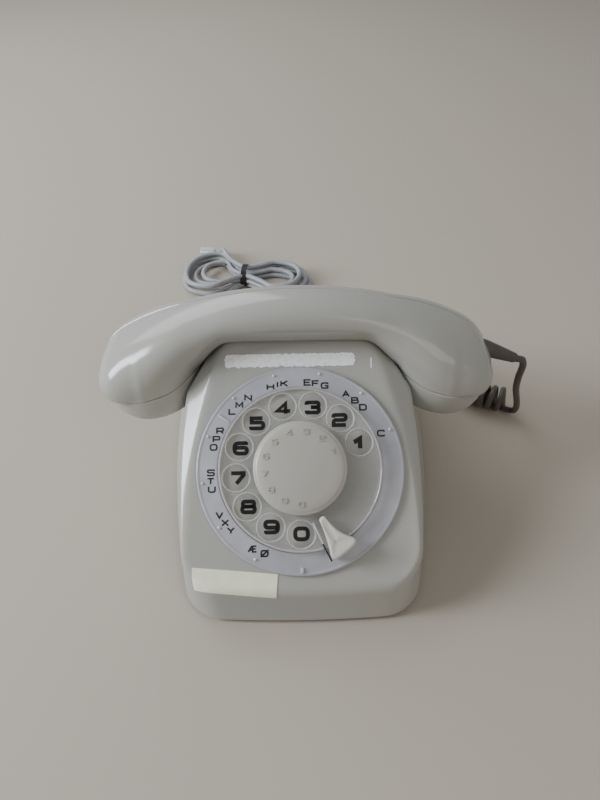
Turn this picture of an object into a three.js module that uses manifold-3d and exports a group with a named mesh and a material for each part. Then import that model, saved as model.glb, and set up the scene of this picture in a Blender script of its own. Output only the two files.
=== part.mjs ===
// A desk telephone with a rotary dial: moulded case, clear finger wheel, lying handset,
// curly handset cord and a line cord tied up behind it. Millimetres, +Z up.
// The origin is on the table, under the middle of the case and handset; the dial faces -Y.
import * as THREE from "three";
import { mergeVertices } from "three/addons/utils/BufferGeometryUtils.js";
import Module from "manifold-3d";

const wasm = await Module();
wasm.setup();

// ---------------------------------------------------------------- driving dimensions
const GAP = 0.3; // air between touching pieces
const WALL = 2.6; // case moulding
const FACE_SLOPE = THREE.MathUtils.degToRad(35);
const FRONT_Y = -96; // where the sloping face meets the front wall
const FRONT_Z = 24;
const CASE_FRONT = -101;
const CASE_REAR = 101;
const CASE_BOTTOM = 2.5;
const CASE_TOP = 95.4;
const TOP_REAR_Y = 40; // the flat top ends here and the rear wall slopes down
const REAR_SLOPE = THREE.MathUtils.degToRad(52);

const DIAL_UP = 57.5; // dial centre, measured up the face from its front edge
const HOLE_COUNT = 10;
const HOLE_PITCH_R = 31.8;
const HOLE_R = 6.5;
const FIRST_HOLE_DEG = 22.5;
const HOLE_STEP_DEG = 27.5;
const WHEEL_R = 40;
const RING_R = 51.3;
const CAP_R = 22.9;

const BAR_Y = 12; // handset axis
const BAR_BOTTOM = 95.8;
const BAR_TOP = 119.6;
const CUP_X = 78.5;
const CUP_Z = 73.5;
const CUP_R = 28.6;
const CUP_TILT = THREE.MathUtils.degToRad(14.5);

const HANDSET_CORD_D = 4.2;
const CURL_D = 15.4;
const LINE_CORD_D = 4.1;

// ---------------------------------------------------------------- finishes
const finish = (color, roughness, metalness = 0) =>
  new THREE.MeshStandardMaterial({ color, roughness, metalness });
const GREY_ABS = () => finish("#a9a8a0", 0.28);
const CAP_ABS = () => finish("#b4b1aa", 0.35);
const CLEAR_ACRYLIC = () => finish("#c9c9c4", 0.1);
const RING_PLASTIC = () => finish("#a9abb4", 0.3);
const DARK_CORD = () => finish("#4b4640", 0.55);
const LIGHT_CORD = () => finish("#9fa3a6", 0.45);
const STEEL = () => finish("#9a9b9c", 0.35, 1);
const BRASS = () => finish("#b08d4a", 0.35, 1);
const RUBBER = () => finish("#2b2a29", 0.8);
const COPPER = () => finish("#9a5a35", 0.5, 0.6);
const BOARD = () => finish("#8a6a3c", 0.6);
const BLACK_PLASTIC = () => finish("#232323", 0.5);

const telephone = new THREE.Group();

function add(name, geometry, material, parent = telephone) {
  const mesh = new THREE.Mesh(geometry, material);
  mesh.name = name;
  parent.add(mesh);
  return mesh;
}

// ---------------------------------------------------------------- solids and booleans
function solid(geometry, matrix) {
  let g = geometry.index ? geometry.toNonIndexed() : geometry.clone();
  g.deleteAttribute("normal");
  g.deleteAttribute("uv");
  if (matrix) g.applyMatrix4(matrix);
  g = mergeVertices(g, 1e-4);
  return new wasm.Manifold(
    new wasm.Mesh({
      numProp: 3,
      vertProperties: new Float32Array(g.attributes.position.array),
      triVerts: new Uint32Array(g.index.array),
    }),
  );
}

function toGeometry(manifold) {
  const mesh = manifold.getMesh();
  const g = new THREE.BufferGeometry();
  g.setAttribute("position", new THREE.BufferAttribute(mesh.vertProperties, 3));
  g.setIndex(new THREE.BufferAttribute(mesh.triVerts, 1));
  const flat = g.toNonIndexed();
  flat.computeVertexNormals();
  return flat;
}

const moved = (x, y, z, rx = 0, ry = 0, rz = 0) =>
  new THREE.Matrix4().compose(
    new THREE.Vector3(x, y, z),
    new THREE.Quaternion().setFromEuler(new THREE.Euler(rx, ry, rz)),
    new THREE.Vector3(1, 1, 1),
  );

// A box, a cylinder along Z and a turned profile, each given by where it is.
const box = (sx, sy, sz, x, y, z) => new THREE.BoxGeometry(sx, sy, sz).translate(x, y, z);

function rod(radius, z0, z1, x = 0, y = 0, sides = 24, topRadius = radius) {
  const g = new THREE.CylinderGeometry(topRadius, radius, z1 - z0, sides);
  return g.rotateX(Math.PI / 2).translate(x, y, (z0 + z1) / 2);
}

// points are [radius, height] pairs; the profile starts and ends on the axis or closes on itself.
function turned(points, sides = 32) {
  const profile = points.map(([r, h]) => new THREE.Vector2(r, h));
  const g = new THREE.LatheGeometry(profile, sides).rotateX(Math.PI / 2);
  return g;
}

// A tube wall between two radii and two heights.
const collar = (r0, r1, z0, z1, sides = 32) =>
  turned([[r0, z0], [r1, z0], [r1, z1], [r0, z1], [r0, z0]], sides);

// A closed skin over a row of rings, each with the same number of points.
function loft(rings) {
  const count = rings[0].length;
  const positions = rings.flat().flatMap((p) => [p.x, p.y, p.z]);
  const index = [];
  for (let k = 0; k + 1 < rings.length; k++) {
    for (let i = 0; i < count; i++) {
      const a = k * count + i;
      const b = k * count + ((i + 1) % count);
      index.push(a, b, b + count, a, b + count, a + count);
    }
  }
  const last = (rings.length - 1) * count;
  for (let i = 1; i + 1 < count; i++) {
    index.push(0, i + 1, i, last, last + i, last + i + 1);
  }
  const g = new THREE.BufferGeometry();
  g.setAttribute("position", new THREE.Float32BufferAttribute(positions, 3));
  g.setIndex(index);
  return g;
}

// ---------------------------------------------------------------- case outline
// Each level gives its height and the half-width at the front corner, in the middle of the
// side and at the rear corner. The side wall flares out towards the table, more at the rear.
const LEVELS = [
  { z: CASE_BOTTOM, front: 61, middle: 83, rear: 79, y0: CASE_FRONT, y1: CASE_REAR },
  { z: 14, front: 60.2, middle: 77, rear: 74, y0: -99, y1: 99.5 },
  { z: 28, front: 59.4, middle: 71, rear: 68, y0: -96.5, y1: 98 },
  { z: 45, front: 58.9, middle: 66, rear: 62, y0: -96, y1: 97 },
  { z: 62, front: 58.7, middle: 63, rear: 57, y0: -96, y1: 96 },
  { z: 78, front: 58.5, middle: 59, rear: 52, y0: -96, y1: 95 },
  { z: CASE_TOP + 4, front: 58, middle: 50.5, rear: 44, y0: -96, y1: 94 },
];

// The outline at one level as a smooth closed path: bowed sides and rounded corners.
function outline(level, inset) {
  const front = level.front - inset;
  const middle = level.middle - inset;
  const rear = level.rear - inset;
  const y0 = level.y0 + inset;
  const y1 = level.y1 - inset;
  const path = new THREE.Path();
  path.moveTo(-front + 16, y0 + 1.5);
  path.quadraticCurveTo(0, y0 - 0.5, front - 16, y0 + 1.5);
  path.quadraticCurveTo(front - 1, y0 + 3, front, y0 + 17);
  path.quadraticCurveTo(middle, 10, rear, y1 - 22);
  path.quadraticCurveTo(rear - 1, y1 - 1, rear - 22, y1);
  path.lineTo(-rear + 22, y1);
  path.quadraticCurveTo(-rear + 1, y1 - 1, -rear, y1 - 22);
  path.quadraticCurveTo(-middle, 10, -front, y0 + 17);
  path.quadraticCurveTo(-front + 1, y0 + 3, -front + 16, y0 + 1.5);
  const points = path.getPoints(7);
  points.pop();
  return points.map((p) => new THREE.Vector3(p.x, p.y, level.z));
}

// A half-space as a big block whose lower face passes through `point` and faces `normal`.
function above(point, normal) {
  const turn = new THREE.Quaternion().setFromUnitVectors(new THREE.Vector3(0, 0, 1), normal);
  const m = new THREE.Matrix4().compose(point, turn, new THREE.Vector3(1, 1, 1));
  return solid(new THREE.BoxGeometry(600, 600, 300).translate(0, 0, 150), m);
}

// A point of the sloping face: x across, v up the slope, h out from the face.
const sin = Math.sin(FACE_SLOPE);
const cos = Math.cos(FACE_SLOPE);
const onFace = (x, v, h = 0) =>
  new THREE.Vector3(x, FRONT_Y + v * cos - h * sin, FRONT_Z + v * sin + h * cos);
const FACE_NORMAL = new THREE.Vector3(0, -sin, cos);

// The crease between the flat face and the bevelled shoulder, from low to high.
const CREASE = [[57.6, 30], [55.0, 64], [49.2, 89], [40, 118]];
const SHOULDER_TILT = THREE.MathUtils.degToRad(33);

function shoulderCuts(inset) {
  const cuts = [];
  for (const side of [-1, 1]) {
    for (let i = 0; i + 1 < CREASE.length; i++) {
      const a = onFace(side * CREASE[i][0], CREASE[i][1]);
      const b = onFace(side * CREASE[i + 1][0], CREASE[i + 1][1]);
      const along = b.clone().sub(a).normalize();
      const normal = FACE_NORMAL.clone().applyAxisAngle(along, side * SHOULDER_TILT);
      cuts.push(above(a.addScaledVector(normal, -inset), normal));
    }
  }
  return cuts;
}

// The top falls away towards each side, following the underside of the handset's bar.
const TOP_CORNERS = [[34, 95.4, 0.5], [39, 92.9, 0.9875]];

function topCornerCuts(inset) {
  const cuts = [];
  for (const side of [-1, 1]) {
    for (const [x, z, slope] of TOP_CORNERS) {
      const normal = new THREE.Vector3(side * slope, 0, 1).normalize();
      cuts.push(above(new THREE.Vector3(side * x, 0, z).addScaledVector(normal, -inset), normal));
    }
  }
  return cuts;
}

// The case's outer form (inset 0) or the space inside it (inset WALL).
function caseForm(inset) {
  const levels = LEVELS.map((level, i) => ({ ...level, z: i === 0 ? level.z - (inset ? 3 : 0) : level.z }));
  let form = solid(loft(levels.map((level) => outline(level, inset))));
  form = form.subtract(above(onFace(0, 0, -inset), FACE_NORMAL));
  form = form.subtract(above(new THREE.Vector3(0, 0, CASE_TOP - inset), new THREE.Vector3(0, 0, 1)));
  const rearNormal = new THREE.Vector3(0, Math.sin(REAR_SLOPE), Math.cos(REAR_SLOPE));
  const rearPoint = new THREE.Vector3(0, TOP_REAR_Y, CASE_TOP).addScaledVector(rearNormal, -inset);
  form = form.subtract(above(rearPoint, rearNormal));
  for (const cut of shoulderCuts(inset)) form = form.subtract(cut);
  for (const cut of topCornerCuts(inset)) form = form.subtract(cut);
  for (const side of [-1, 1]) {
    // the hollow at each side of the top that the handset's cup hangs in
    const hollow = rod(33.5 + inset, 57.5 - inset, 130, side * 80, BAR_Y, 32);
    form = form.subtract(solid(hollow));
  }
  return form;
}

const DIAL_CENTRE = onFace(0, DIAL_UP);
const PLUNGER_X = 30;
const SCREWS = { front_left: [-44, -82], front_right: [44, -82], rear_left: [-58, 78], rear_right: [58, 78] };
const LINE_EXIT = { x: -42, z: 11 };
const HANDSET_EXIT = { x: 46, z: 12 };
const EXIT_R = 5.2;

{
  const outer = caseForm(0);
  const inner = caseForm(WALL);
  let shell = outer.subtract(inner);
  for (const [x, y] of Object.values(SCREWS)) {
    const boss = solid(rod(4.5, 5.6, 70, x, y, 20)).intersect(outer);
    shell = shell.add(boss).subtract(solid(rod(2.1, 0, 18, x, y, 16)));
  }
  const dialHole = solid(rod(43.8, -8, 8, 0, 0, 56), moved(...DIAL_CENTRE.toArray(), FACE_SLOPE));
  shell = shell.subtract(dialHole);
  for (const x of [-PLUNGER_X, PLUNGER_X]) {
    shell = shell.subtract(solid(rod(3.5, 80, 110, x, BAR_Y, 20)));
  }
  for (const exit of [LINE_EXIT, HANDSET_EXIT]) {
    shell = shell.subtract(solid(rod(EXIT_R, -20, 20, 0, 0, 20), moved(exit.x, 98, exit.z, Math.PI / 2)));
  }
  add("case_shell", toGeometry(shell), GREY_ABS());
}

// ---------------------------------------------------------------- underside
{
  const plateLevel = { ...LEVELS[0], z: 0 };
  const shape = new THREE.Shape(outline(plateLevel, WALL + 2.4).map((p) => new THREE.Vector2(p.x, p.y)));
  for (const [x, y] of Object.values(SCREWS)) {
    shape.holes.push(new THREE.Path().absarc(x, y, 2.1, 0, 2 * Math.PI, true));
  }
  const plate = new THREE.ExtrudeGeometry(shape, { depth: 2, bevelEnabled: false, curveSegments: 8 });
  add("base_plate", plate.translate(0, 0, 3), STEEL());
}

const FEET = { front_left: [-30, -72], front_right: [30, -72], rear_left: [-60, 62], rear_right: [60, 62] };
for (const [place, [x, y]] of Object.entries(FEET)) {
  add("foot_" + place, rod(8.5, 0, 3 - GAP, x, y, 24, 9), RUBBER());
}

for (const [place, [x, y]] of Object.entries(SCREWS)) {
  const profile = [[0, 1.1], [3.4, 1.1], [3.4, 2.7], [1.7, 2.7], [1.7, 16], [0, 16]];
  add("case_screw_" + place, turned(profile, 14).translate(x, y, 0), STEEL());
}

// ---------------------------------------------------------------- dial
// The dial group stands on the face: its Z points out of the face and its Y up the slope.
const dial = new THREE.Group();
dial.position.copy(DIAL_CENTRE);
dial.rotation.x = FACE_SLOPE;
telephone.add(dial);

// A paper label is stuck across the lower left of the face.
add("label", box(40, 10, 0.25, -33.4, 2.9 - DIAL_UP, 0.45), finish("#e3e6cf", 0.5), dial);

const BUSH_R = 6.2;
const SHAFT_R = 2.9;
const WHEEL_Z0 = 3.0;
const WHEEL_Z1 = 5.4;

add(
  "letter_ring",
  turned([[41, 0.3], [RING_R, 0.3], [RING_R, 1.2], [50.4, 2.1], [41.5, 2.7], [41, 2.2], [41, 0.3]], 64),
  RING_PLASTIC(),
  dial,
);
add("number_plate", collar(BUSH_R + GAP, 43.4, -2.9, -1.2, 48), RING_PLASTIC(), dial);
add(
  "dial_frame",
  turned([[BUSH_R + GAP, -5.9], [44, -5.9], [44, -9], [46, -9], [46, -2.9], [BUSH_R + GAP, -3.3], [BUSH_R + GAP, -5.9]], 48),
  STEEL(),
  dial,
);
add("dial_bush", collar(SHAFT_R + GAP, BUSH_R, -8, 2.6, 20), BRASS(), dial);

// The finger stop stands on the letter ring and reaches in over the wheel, clear of it.
{
  const fin = new THREE.Shape();
  fin.moveTo(8.6, -25.2);
  fin.quadraticCurveTo(9.2, -22.9, 11.2, -23.4);
  fin.quadraticCurveTo(16.6, -31, 24.2, -33.2);
  fin.quadraticCurveTo(27.2, -34.4, 25.2, -36.8);
  fin.quadraticCurveTo(21.2, -40.8, 17.2, -43.2);
  fin.quadraticCurveTo(14.4, -44.4, 13.6, -41.2);
  fin.quadraticCurveTo(11.8, -32.4, 8.6, -25.2);
  const blade = new THREE.ExtrudeGeometry(fin, { depth: 7.6, bevelEnabled: false, curveSegments: 5 });
  const clearance = solid(rod(WHEEL_R + 1.4, 0, WHEEL_Z1 + 0.8, 0, 0, 48));
  add("finger_stop", toGeometry(solid(blade.translate(0, 0, 3)).subtract(clearance)), CAP_ABS(), dial);
}

{
  const wheel = new THREE.Shape().absarc(0, 0, WHEEL_R, 0, 2 * Math.PI, false);
  wheel.holes.push(new THREE.Path().absarc(0, 0, SHAFT_R + GAP, 0, 2 * Math.PI, true));
  for (let i = 0; i < HOLE_COUNT; i++) {
    const angle = THREE.MathUtils.degToRad(FIRST_HOLE_DEG + i * HOLE_STEP_DEG);
    const x = HOLE_PITCH_R * Math.cos(angle);
    const y = HOLE_PITCH_R * Math.sin(angle);
    wheel.holes.push(new THREE.Path().absarc(x, y, HOLE_R, 0, 2 * Math.PI, true));
  }
  const depth = WHEEL_Z1 - WHEEL_Z0;
  const disc = new THREE.ExtrudeGeometry(wheel, { depth, bevelEnabled: false, curveSegments: 14 });
  add("finger_wheel", disc.translate(0, 0, WHEEL_Z0), CLEAR_ACRYLIC(), dial);
}
add(
  "dial_cap",
  turned([[0, 10.4], [20.8, 9.6], [21.2, 5.7], [CAP_R, 5.7], [CAP_R, 9.2], [21.6, 10.6], [12, 11.7], [0, 12.1]], 48),
  CAP_ABS(),
  dial,
);
add("wheel_screw", turned([[0, 5.7], [4.6, 5.7], [4.6, 6.7], [3.4, 7.4], [0, 7.6]], 20), STEEL(), dial);
add("dial_shaft", rod(SHAFT_R, -20, 5.3, 0, 0, 20), STEEL(), dial);
add("return_spring", collar(7.2, 13, -8.0, -6.4, 28), STEEL(), dial);

// A spur gear as one outline: straight-flanked teeth, thin enough to run with backlash.
function gear(teeth, pitchR, boreR, z0, z1, phase) {
  const shape = new THREE.Shape();
  const step = (2 * Math.PI) / teeth;
  for (let i = 0; i < teeth; i++) {
    const a = phase + i * step;
    const corners = [[pitchR - 1.25, -0.27], [pitchR + 0.85, -0.11], [pitchR + 0.85, 0.11], [pitchR - 1.25, 0.27]];
    for (const [r, t] of corners) {
      const x = r * Math.cos(a + t * step);
      const y = r * Math.sin(a + t * step);
      if (i === 0 && t === -0.27) shape.moveTo(x, y);
      else shape.lineTo(x, y);
    }
  }
  shape.holes.push(new THREE.Path().absarc(0, 0, boreR, 0, 2 * Math.PI, true));
  const g = new THREE.ExtrudeGeometry(shape, { depth: z1 - z0, bevelEnabled: false, curveSegments: 8 });
  return g.translate(0, 0, z0);
}

const GEAR_TEETH = 40;
const PINION_TEETH = 10;
const GOVERNOR_ANGLE = THREE.MathUtils.degToRad(207);
const CENTRES = 25.2;
add("main_gear", gear(GEAR_TEETH, 20, SHAFT_R + GAP, -11.2, -8.4, GOVERNOR_ANGLE), BRASS(), dial);
{
  const star = new THREE.Shape();
  const lobes = 12;
  for (let i = 0; i < 2 * lobes; i++) {
    const r = i % 2 ? 8.4 : 10.6;
    const a = (i * Math.PI) / lobes;
    if (i === 0) star.moveTo(r, 0);
    else star.lineTo(r * Math.cos(a), r * Math.sin(a));
  }
  star.holes.push(new THREE.Path().absarc(0, 0, SHAFT_R + GAP, 0, 2 * Math.PI, true));
  const wheel = new THREE.ExtrudeGeometry(star, { depth: 2, bevelEnabled: false, curveSegments: 8 });
  add("pulse_wheel", wheel.translate(0, 0, -15), BLACK_PLASTIC(), dial);
}
add("pulse_contacts", box(16, 4.5, 6.4, 20.5, 0, -15.6), BRASS(), dial);

const governor = new THREE.Group();
governor.position.set(CENTRES * Math.cos(GOVERNOR_ANGLE), CENTRES * Math.sin(GOVERNOR_ANGLE), 0);
dial.add(governor);
const toothPhase = GOVERNOR_ANGLE + Math.PI + Math.PI / PINION_TEETH;
add("governor_pinion", gear(PINION_TEETH, 5, 1.7, -11.2, -8.4, toothPhase), BRASS(), governor);
add("governor_spindle", rod(1.4, -22.5, -6.3, 0, 0, 12), STEEL(), governor);
add("governor_weights", collar(1.7, 9.2, -19, -15.4, 24), BRASS(), governor);
add(
  "governor_drum",
  turned([[2, -21.8], [12.4, -21.8], [12.4, -13.4], [10.8, -13.4], [10.8, -20], [2, -20], [2, -21.8]], 32),
  STEEL(),
  governor,
);

// ---------------------------------------------------------------- hook switch
for (const [side, x] of [["left", -PLUNGER_X], ["right", PLUNGER_X]]) {
  add("hook_plunger_" + side, rod(3, 80.3, BAR_BOTTOM - GAP, x, BAR_Y, 20), CAP_ABS());
}
add("hook_crossbar", box(70, 8, 3.4, 0, BAR_Y, 78.3), BLACK_PLASTIC());
// The bridge stands on the base plate astride the ringer and carries the hook contacts.
{
  const bridge = new THREE.Shape();
  bridge.moveTo(-39, 5.3);
  bridge.lineTo(-37, 5.3);
  bridge.lineTo(-37, 63);
  bridge.lineTo(37, 63);
  bridge.lineTo(37, 5.3);
  bridge.lineTo(39, 5.3);
  bridge.lineTo(39, 65);
  bridge.lineTo(-39, 65);
  bridge.lineTo(-39, 5.3);
  const strip = new THREE.ExtrudeGeometry(bridge, { depth: 14, bevelEnabled: false });
  add("hook_bracket", strip.rotateX(Math.PI / 2).translate(0, BAR_Y + 7, 0), STEEL());
}
add("hook_contacts", box(12, 9, 9.5, 0, BAR_Y, 70.1), BRASS());

// ---------------------------------------------------------------- bells and clapper
const GONG_Y = 48;
for (const [side, x, r] of [["left", -29, 23], ["right", 29, 22]]) {
  const gong = turned(
    [[2.2, 33.8], [9, 33.8], [r - 5, 32], [r - 1.2, 27], [r - 1.2, 22], [r, 22], [r, 27.6], [r - 4, 33.4], [9, 35.2], [2.2, 35.2], [2.2, 33.8]],
    32,
  );
  add("gong_" + side, gong.translate(x, GONG_Y, 0), STEEL());
  add("gong_post_" + side, turned([[0, 5.3], [4, 5.3], [4, 33.4], [1.8, 33.4], [1.8, 37], [0, 37]], 16).translate(x, GONG_Y, 0), STEEL());
}
for (const [side, x] of [["left", -12], ["right", 12]]) {
  const bobbin = new THREE.CylinderGeometry(9, 9, 26, 24).translate(x, 8, 17);
  add("ringer_coil_" + side, bobbin, COPPER());
}
const PIVOT_Y = 24.4;
{
  const back = solid(box(44, 5, 24, 0, -8.2, 17.4));
  const floor = solid(box(44, 42, 2, 0, 9, 6.4));
  const pin = solid(rod(1.2, 6, 23, 0, PIVOT_Y, 12));
  add("ringer_yoke", toGeometry(back.add(floor).add(pin)), STEEL());
}
{
  const bar = solid(box(26, 4.4, 8, 0, PIVOT_Y, 17));
  const arm = bar.add(solid(box(2.4, 24, 2.4, 0, 38, 20))).subtract(solid(rod(1.5, 0, 40, 0, PIVOT_Y, 14)));
  const hammer = solid(new THREE.SphereGeometry(4, 16, 12).translate(0, 50, 24)).add(solid(box(2.4, 2.4, 6, 0, 48.6, 21.6)));
  add("clapper", toGeometry(arm.add(hammer)), STEEL());
}

// ---------------------------------------------------------------- circuit
{
  let board = solid(box(88, 44, 1.6, 0, -52, 7.6));
  for (const x of [-38, 38]) {
    for (const y of [-69, -35]) board = board.add(solid(rod(2.5, 5.3, 7.6, x, y, 12)));
  }
  add("circuit_board", toGeometry(board), BOARD());
}
add("induction_coil", box(24, 20, 15, -24, -56, 16.2), COPPER());
add("line_capacitor", new THREE.CylinderGeometry(6.5, 6.5, 28, 20).rotateZ(Math.PI / 2).translate(20, -60, 15.3), BLACK_PLASTIC());
add("terminal_block", box(40, 9, 9, 6, -38, 13.2), CAP_ABS());

// ---------------------------------------------------------------- handset
// The grip is a bar that widens and drops at each end into a cup with a tilted rim.
const CUP_DROP = Math.tan(CUP_TILT);
const CUP_COS = Math.cos(CUP_TILT);
const GRIP_END = 106.9;
const GRIP_STATIONS = [0, 16, 28, 34.5, 38, 42, 46, 50, 53, 56, 60, 66, 72, 79, 86, 92, 97, 101, 104, 106, GRIP_END];
const mix = THREE.MathUtils.lerp;
const ease = THREE.MathUtils.smoothstep;

// One cross-section of the grip: a rounded back, sides that fall to the rim, and a flat underside.
function gripRing(x) {
  const reach = Math.abs(x);
  const u = Math.max(0, (reach - 84) / 23.2);
  const nose = 26 * (1 - Math.pow(1 - Math.pow(u, 3), 1 / 3));
  const top = BAR_TOP - (185 - Math.sqrt(185 * 185 - x * x)) - nose;
  // the mouth end is a little shorter than the ear end
  const along = x > 84 ? 84 + (x - 84) * 0.957 : x;
  const out = Math.abs(along);
  const rim = CUP_Z - (out - CUP_X) * CUP_DROP + GAP;
  const bottom = Math.min(top - 0.6, mix(BAR_BOTTOM, rim, ease(reach, 34, 56)));
  const chordSquared = CUP_R * CUP_R - Math.pow((out - CUP_X) / CUP_COS, 2);
  const chord = Math.sqrt(Math.max(1, chordSquared));
  const nosing = 28.2 * Math.pow(1 - Math.pow(u, 2.8), 1 / 2.8);
  const width = reach < CUP_X ? mix(15.5, CUP_R, ease(reach, 40, CUP_X)) : Math.max(chord, nosing);
  const foot = mix(mix(0.52, 0.72, ease(reach, 26, 46)) * width, chord, ease(reach, 48, 55));
  const widest = mix((top + bottom) / 2, Math.min(rim + 4, (top + rim) / 2), ease(reach, 44, 82));
  const ring = [];
  for (let i = 0; i <= 12; i++) {
    const a = (i * Math.PI) / 12;
    const y = Math.sign(Math.cos(a)) * Math.pow(Math.abs(Math.cos(a)), 0.85) * width;
    ring.push(new THREE.Vector3(along, BAR_Y + y, widest + (top - widest) * Math.pow(Math.sin(a), 0.85)));
  }
  const side = [0.25, 0.5, 0.8, 1];
  const fall = (s) => [foot + (width - foot) * Math.sqrt(1 - s * s), mix(widest, bottom, s)];
  for (const s of side) ring.push(new THREE.Vector3(along, BAR_Y - fall(s)[0], fall(s)[1]));
  for (const y of [-0.5, 0, 0.5]) ring.push(new THREE.Vector3(along, BAR_Y + y * foot, bottom));
  for (const s of side.reverse()) ring.push(new THREE.Vector3(along, BAR_Y + fall(s)[0], fall(s)[1]));
  return ring;
}

const CAPSULE_R = 21.5;
const cupMatrix = (side) => moved(side * CUP_X, BAR_Y, CUP_Z, 0, side * CUP_TILT);
const BOOT_LENGTH = 20;
const bootMatrix = moved(102, 12.5, 81.4, 0, THREE.MathUtils.degToRad(113));

// The handset lies a little to the left of the case's middle.
const handset = new THREE.Group();
handset.position.x = -1;
telephone.add(handset);

{
  const left = GRIP_STATIONS.slice(1).reverse().map((x) => gripRing(-x));
  let grip = solid(loft([...left, ...GRIP_STATIONS.map(gripRing)]));
  for (const side of [-1, 1]) {
    grip = grip.subtract(solid(rod(CAPSULE_R + 1, -9, 10, 0, 0, 32), cupMatrix(side)));
  }
  grip = grip.subtract(solid(rod(4.95, -GAP, 30, 0, 0, 20), bootMatrix));
  add("handset_grip", toGeometry(grip), GREY_ABS(), handset);
}

for (const [side, part] of [[-1, "ear"], [1, "mouth"]]) {
  const profile = [
    [0, -10.6], [CAPSULE_R, -10.6], [CAPSULE_R, 0], [CUP_R, 0], [CUP_R - 0.2, -7],
    [26.2, -14.6], [24, -16.4], [16, -15.4], [0, -13.6],
  ];
  let cap = solid(turned(profile.reverse(), 40));
  for (let i = 0; i < 7; i++) {
    const r = i === 0 ? 0 : 8;
    cap = cap.subtract(solid(rod(1.5, -18, -8, r * Math.cos((i * Math.PI) / 3), r * Math.sin((i * Math.PI) / 3), 8)));
  }
  const cup = new THREE.Group();
  cup.applyMatrix4(cupMatrix(side));
  handset.add(cup);
  add(part + "_cap", toGeometry(cap), GREY_ABS(), cup);
  const capsule = turned([[0, -10.2], [CAPSULE_R - 0.8, -10.2], [CAPSULE_R - 0.8, 6], [10, 9.4], [0, 9.4]], 32);
  add(part + "_capsule", capsule, STEEL(), cup);
}

// ---------------------------------------------------------------- cords
// A plain round tube along hand-placed points.
function cordTube(points, diameter, sides, steps) {
  const curve = new THREE.CatmullRomCurve3(points.map((p) => new THREE.Vector3(...p)));
  const section = new THREE.Shape();
  for (let i = 0; i < sides; i++) {
    const a = (2 * Math.PI * i) / sides;
    const x = (diameter / 2) * Math.cos(a);
    const y = (diameter / 2) * Math.sin(a);
    if (i === 0) section.moveTo(x, y);
    else section.lineTo(x, y);
  }
  return new THREE.ExtrudeGeometry(section, { steps, bevelEnabled: false, extrudePath: curve });
}

// Handset cord: boot on the cup, plain lead down to the table, curls round behind, tail to the case.
const boot = rod(4.6, 0, BOOT_LENGTH, 0, 0, 16, 2.6).applyMatrix4(bootMatrix);
add("handset_cord_boot", boot, DARK_CORD(), handset);
const LEAD = [
  [121.6, 12.9, 72.5], [125, 14, 70.4], [127.4, 16.2, 64], [129, 20.6, 50], [132.6, 25.5, 36.5],
  [137.2, 32, 22], [138.8, 36.2, 11], [137.4, 37.6, 4.6], [134.6, 38.4, 3],
];
add("handset_cord_lead", cordTube(LEAD, HANDSET_CORD_D, 10, 22), DARK_CORD());
const CURL = [
  [131, 45.6, 7.8], [124, 48.8, 7.8], [116, 53.8, 7.8], [109.5, 61.5, 7.8], [106, 73, 7.8],
  [103.5, 87, 7.8], [98.5, 100, 7.8], [89.5, 111, 7.8], [77.5, 118, 7.8], [64, 120, 7.8],
];
add("handset_cord_curl", cordTube(CURL, CURL_D, 12, 12), DARK_CORD());
const TAIL = [[61.5, 120, 8], [57, 119.4, 8.5], [51.5, 117, 10], [47.5, 113.6, 11.6], [46, 109.9, 12]];
add("handset_cord_tail", cordTube(TAIL, HANDSET_CORD_D, 10, 8), DARK_CORD());
for (const [name, exit] of [["handset_cord_gland", HANDSET_EXIT], ["line_cord_gland", LINE_EXIT]]) {
  const sleeve = turned([[0, -6], [EXIT_R - 0.4, -6], [EXIT_R - 0.4, 1.2], [4.2, 1.4], [3.2, 8.6], [0, 8.6]], 18);
  sleeve.applyMatrix4(moved(exit.x, 100.3, exit.z, -Math.PI / 2));
  add(name, sleeve, name === "line_cord_gland" ? LIGHT_CORD() : DARK_CORD());
}

// Line cord: from the case to the hank, which is wound as a bow and tied in the middle.
const LINE = [
  [-42, 109.9, 11], [-42, 114.4, 9.5], [-43, 121, 5.5], [-46, 130, 2.6], [-53, 139, 2.4],
  [-60, 147, 2.4], [-65, 156, 2.4], [-67, 165, 2.4], [-67.5, 171.5, 2.4],
];
add("line_cord_lead", cordTube(LINE, LINE_CORD_D, 8, 16), LIGHT_CORD());
{
  const x = -44;
  const y = 200;
  const height = 12.4;
  const bow = new THREE.Shape();
  bow.moveTo(-5, -7);
  bow.lineTo(5, -7);
  bow.bezierCurveTo(18, -32, 57, -32, 57, -2);
  bow.bezierCurveTo(57, 26, 18, 30, 5, 7);
  bow.lineTo(-5, 7);
  bow.bezierCurveTo(-16, 38, -54, 48, -55, 4);
  bow.bezierCurveTo(-56, -28, -20, -36, -5, -7);
  const turn = moved(x, y, 0, 0, 0, THREE.MathUtils.degToRad(-5));
  const hank = new THREE.ExtrudeGeometry(bow, { depth: height, bevelEnabled: false, curveSegments: 10 });
  add("line_cord_hank", hank.translate(0, 0, 0.4).applyMatrix4(turn), LIGHT_CORD());
  const band = solid(box(6, 18.4, height + 3.2, 0, 0, height / 2 + 1.9), turn);
  const gap = solid(box(20, 15.2, height + 1, 0, 0, height / 2 + 0.2), turn);
  add("line_cord_tie", toGeometry(band.subtract(gap)), BLACK_PLASTIC());
}
add("line_cord_plug", box(13, 9.7, 6.6, -80, 242.5, 3.7), CLEAR_ACRYLIC());

export default telephone;
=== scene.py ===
# A desk telephone with a rotary dial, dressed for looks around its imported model.
import math
import bmesh
import bpy
import numpy as np
from mathutils import Matrix, Vector, noise


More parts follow.
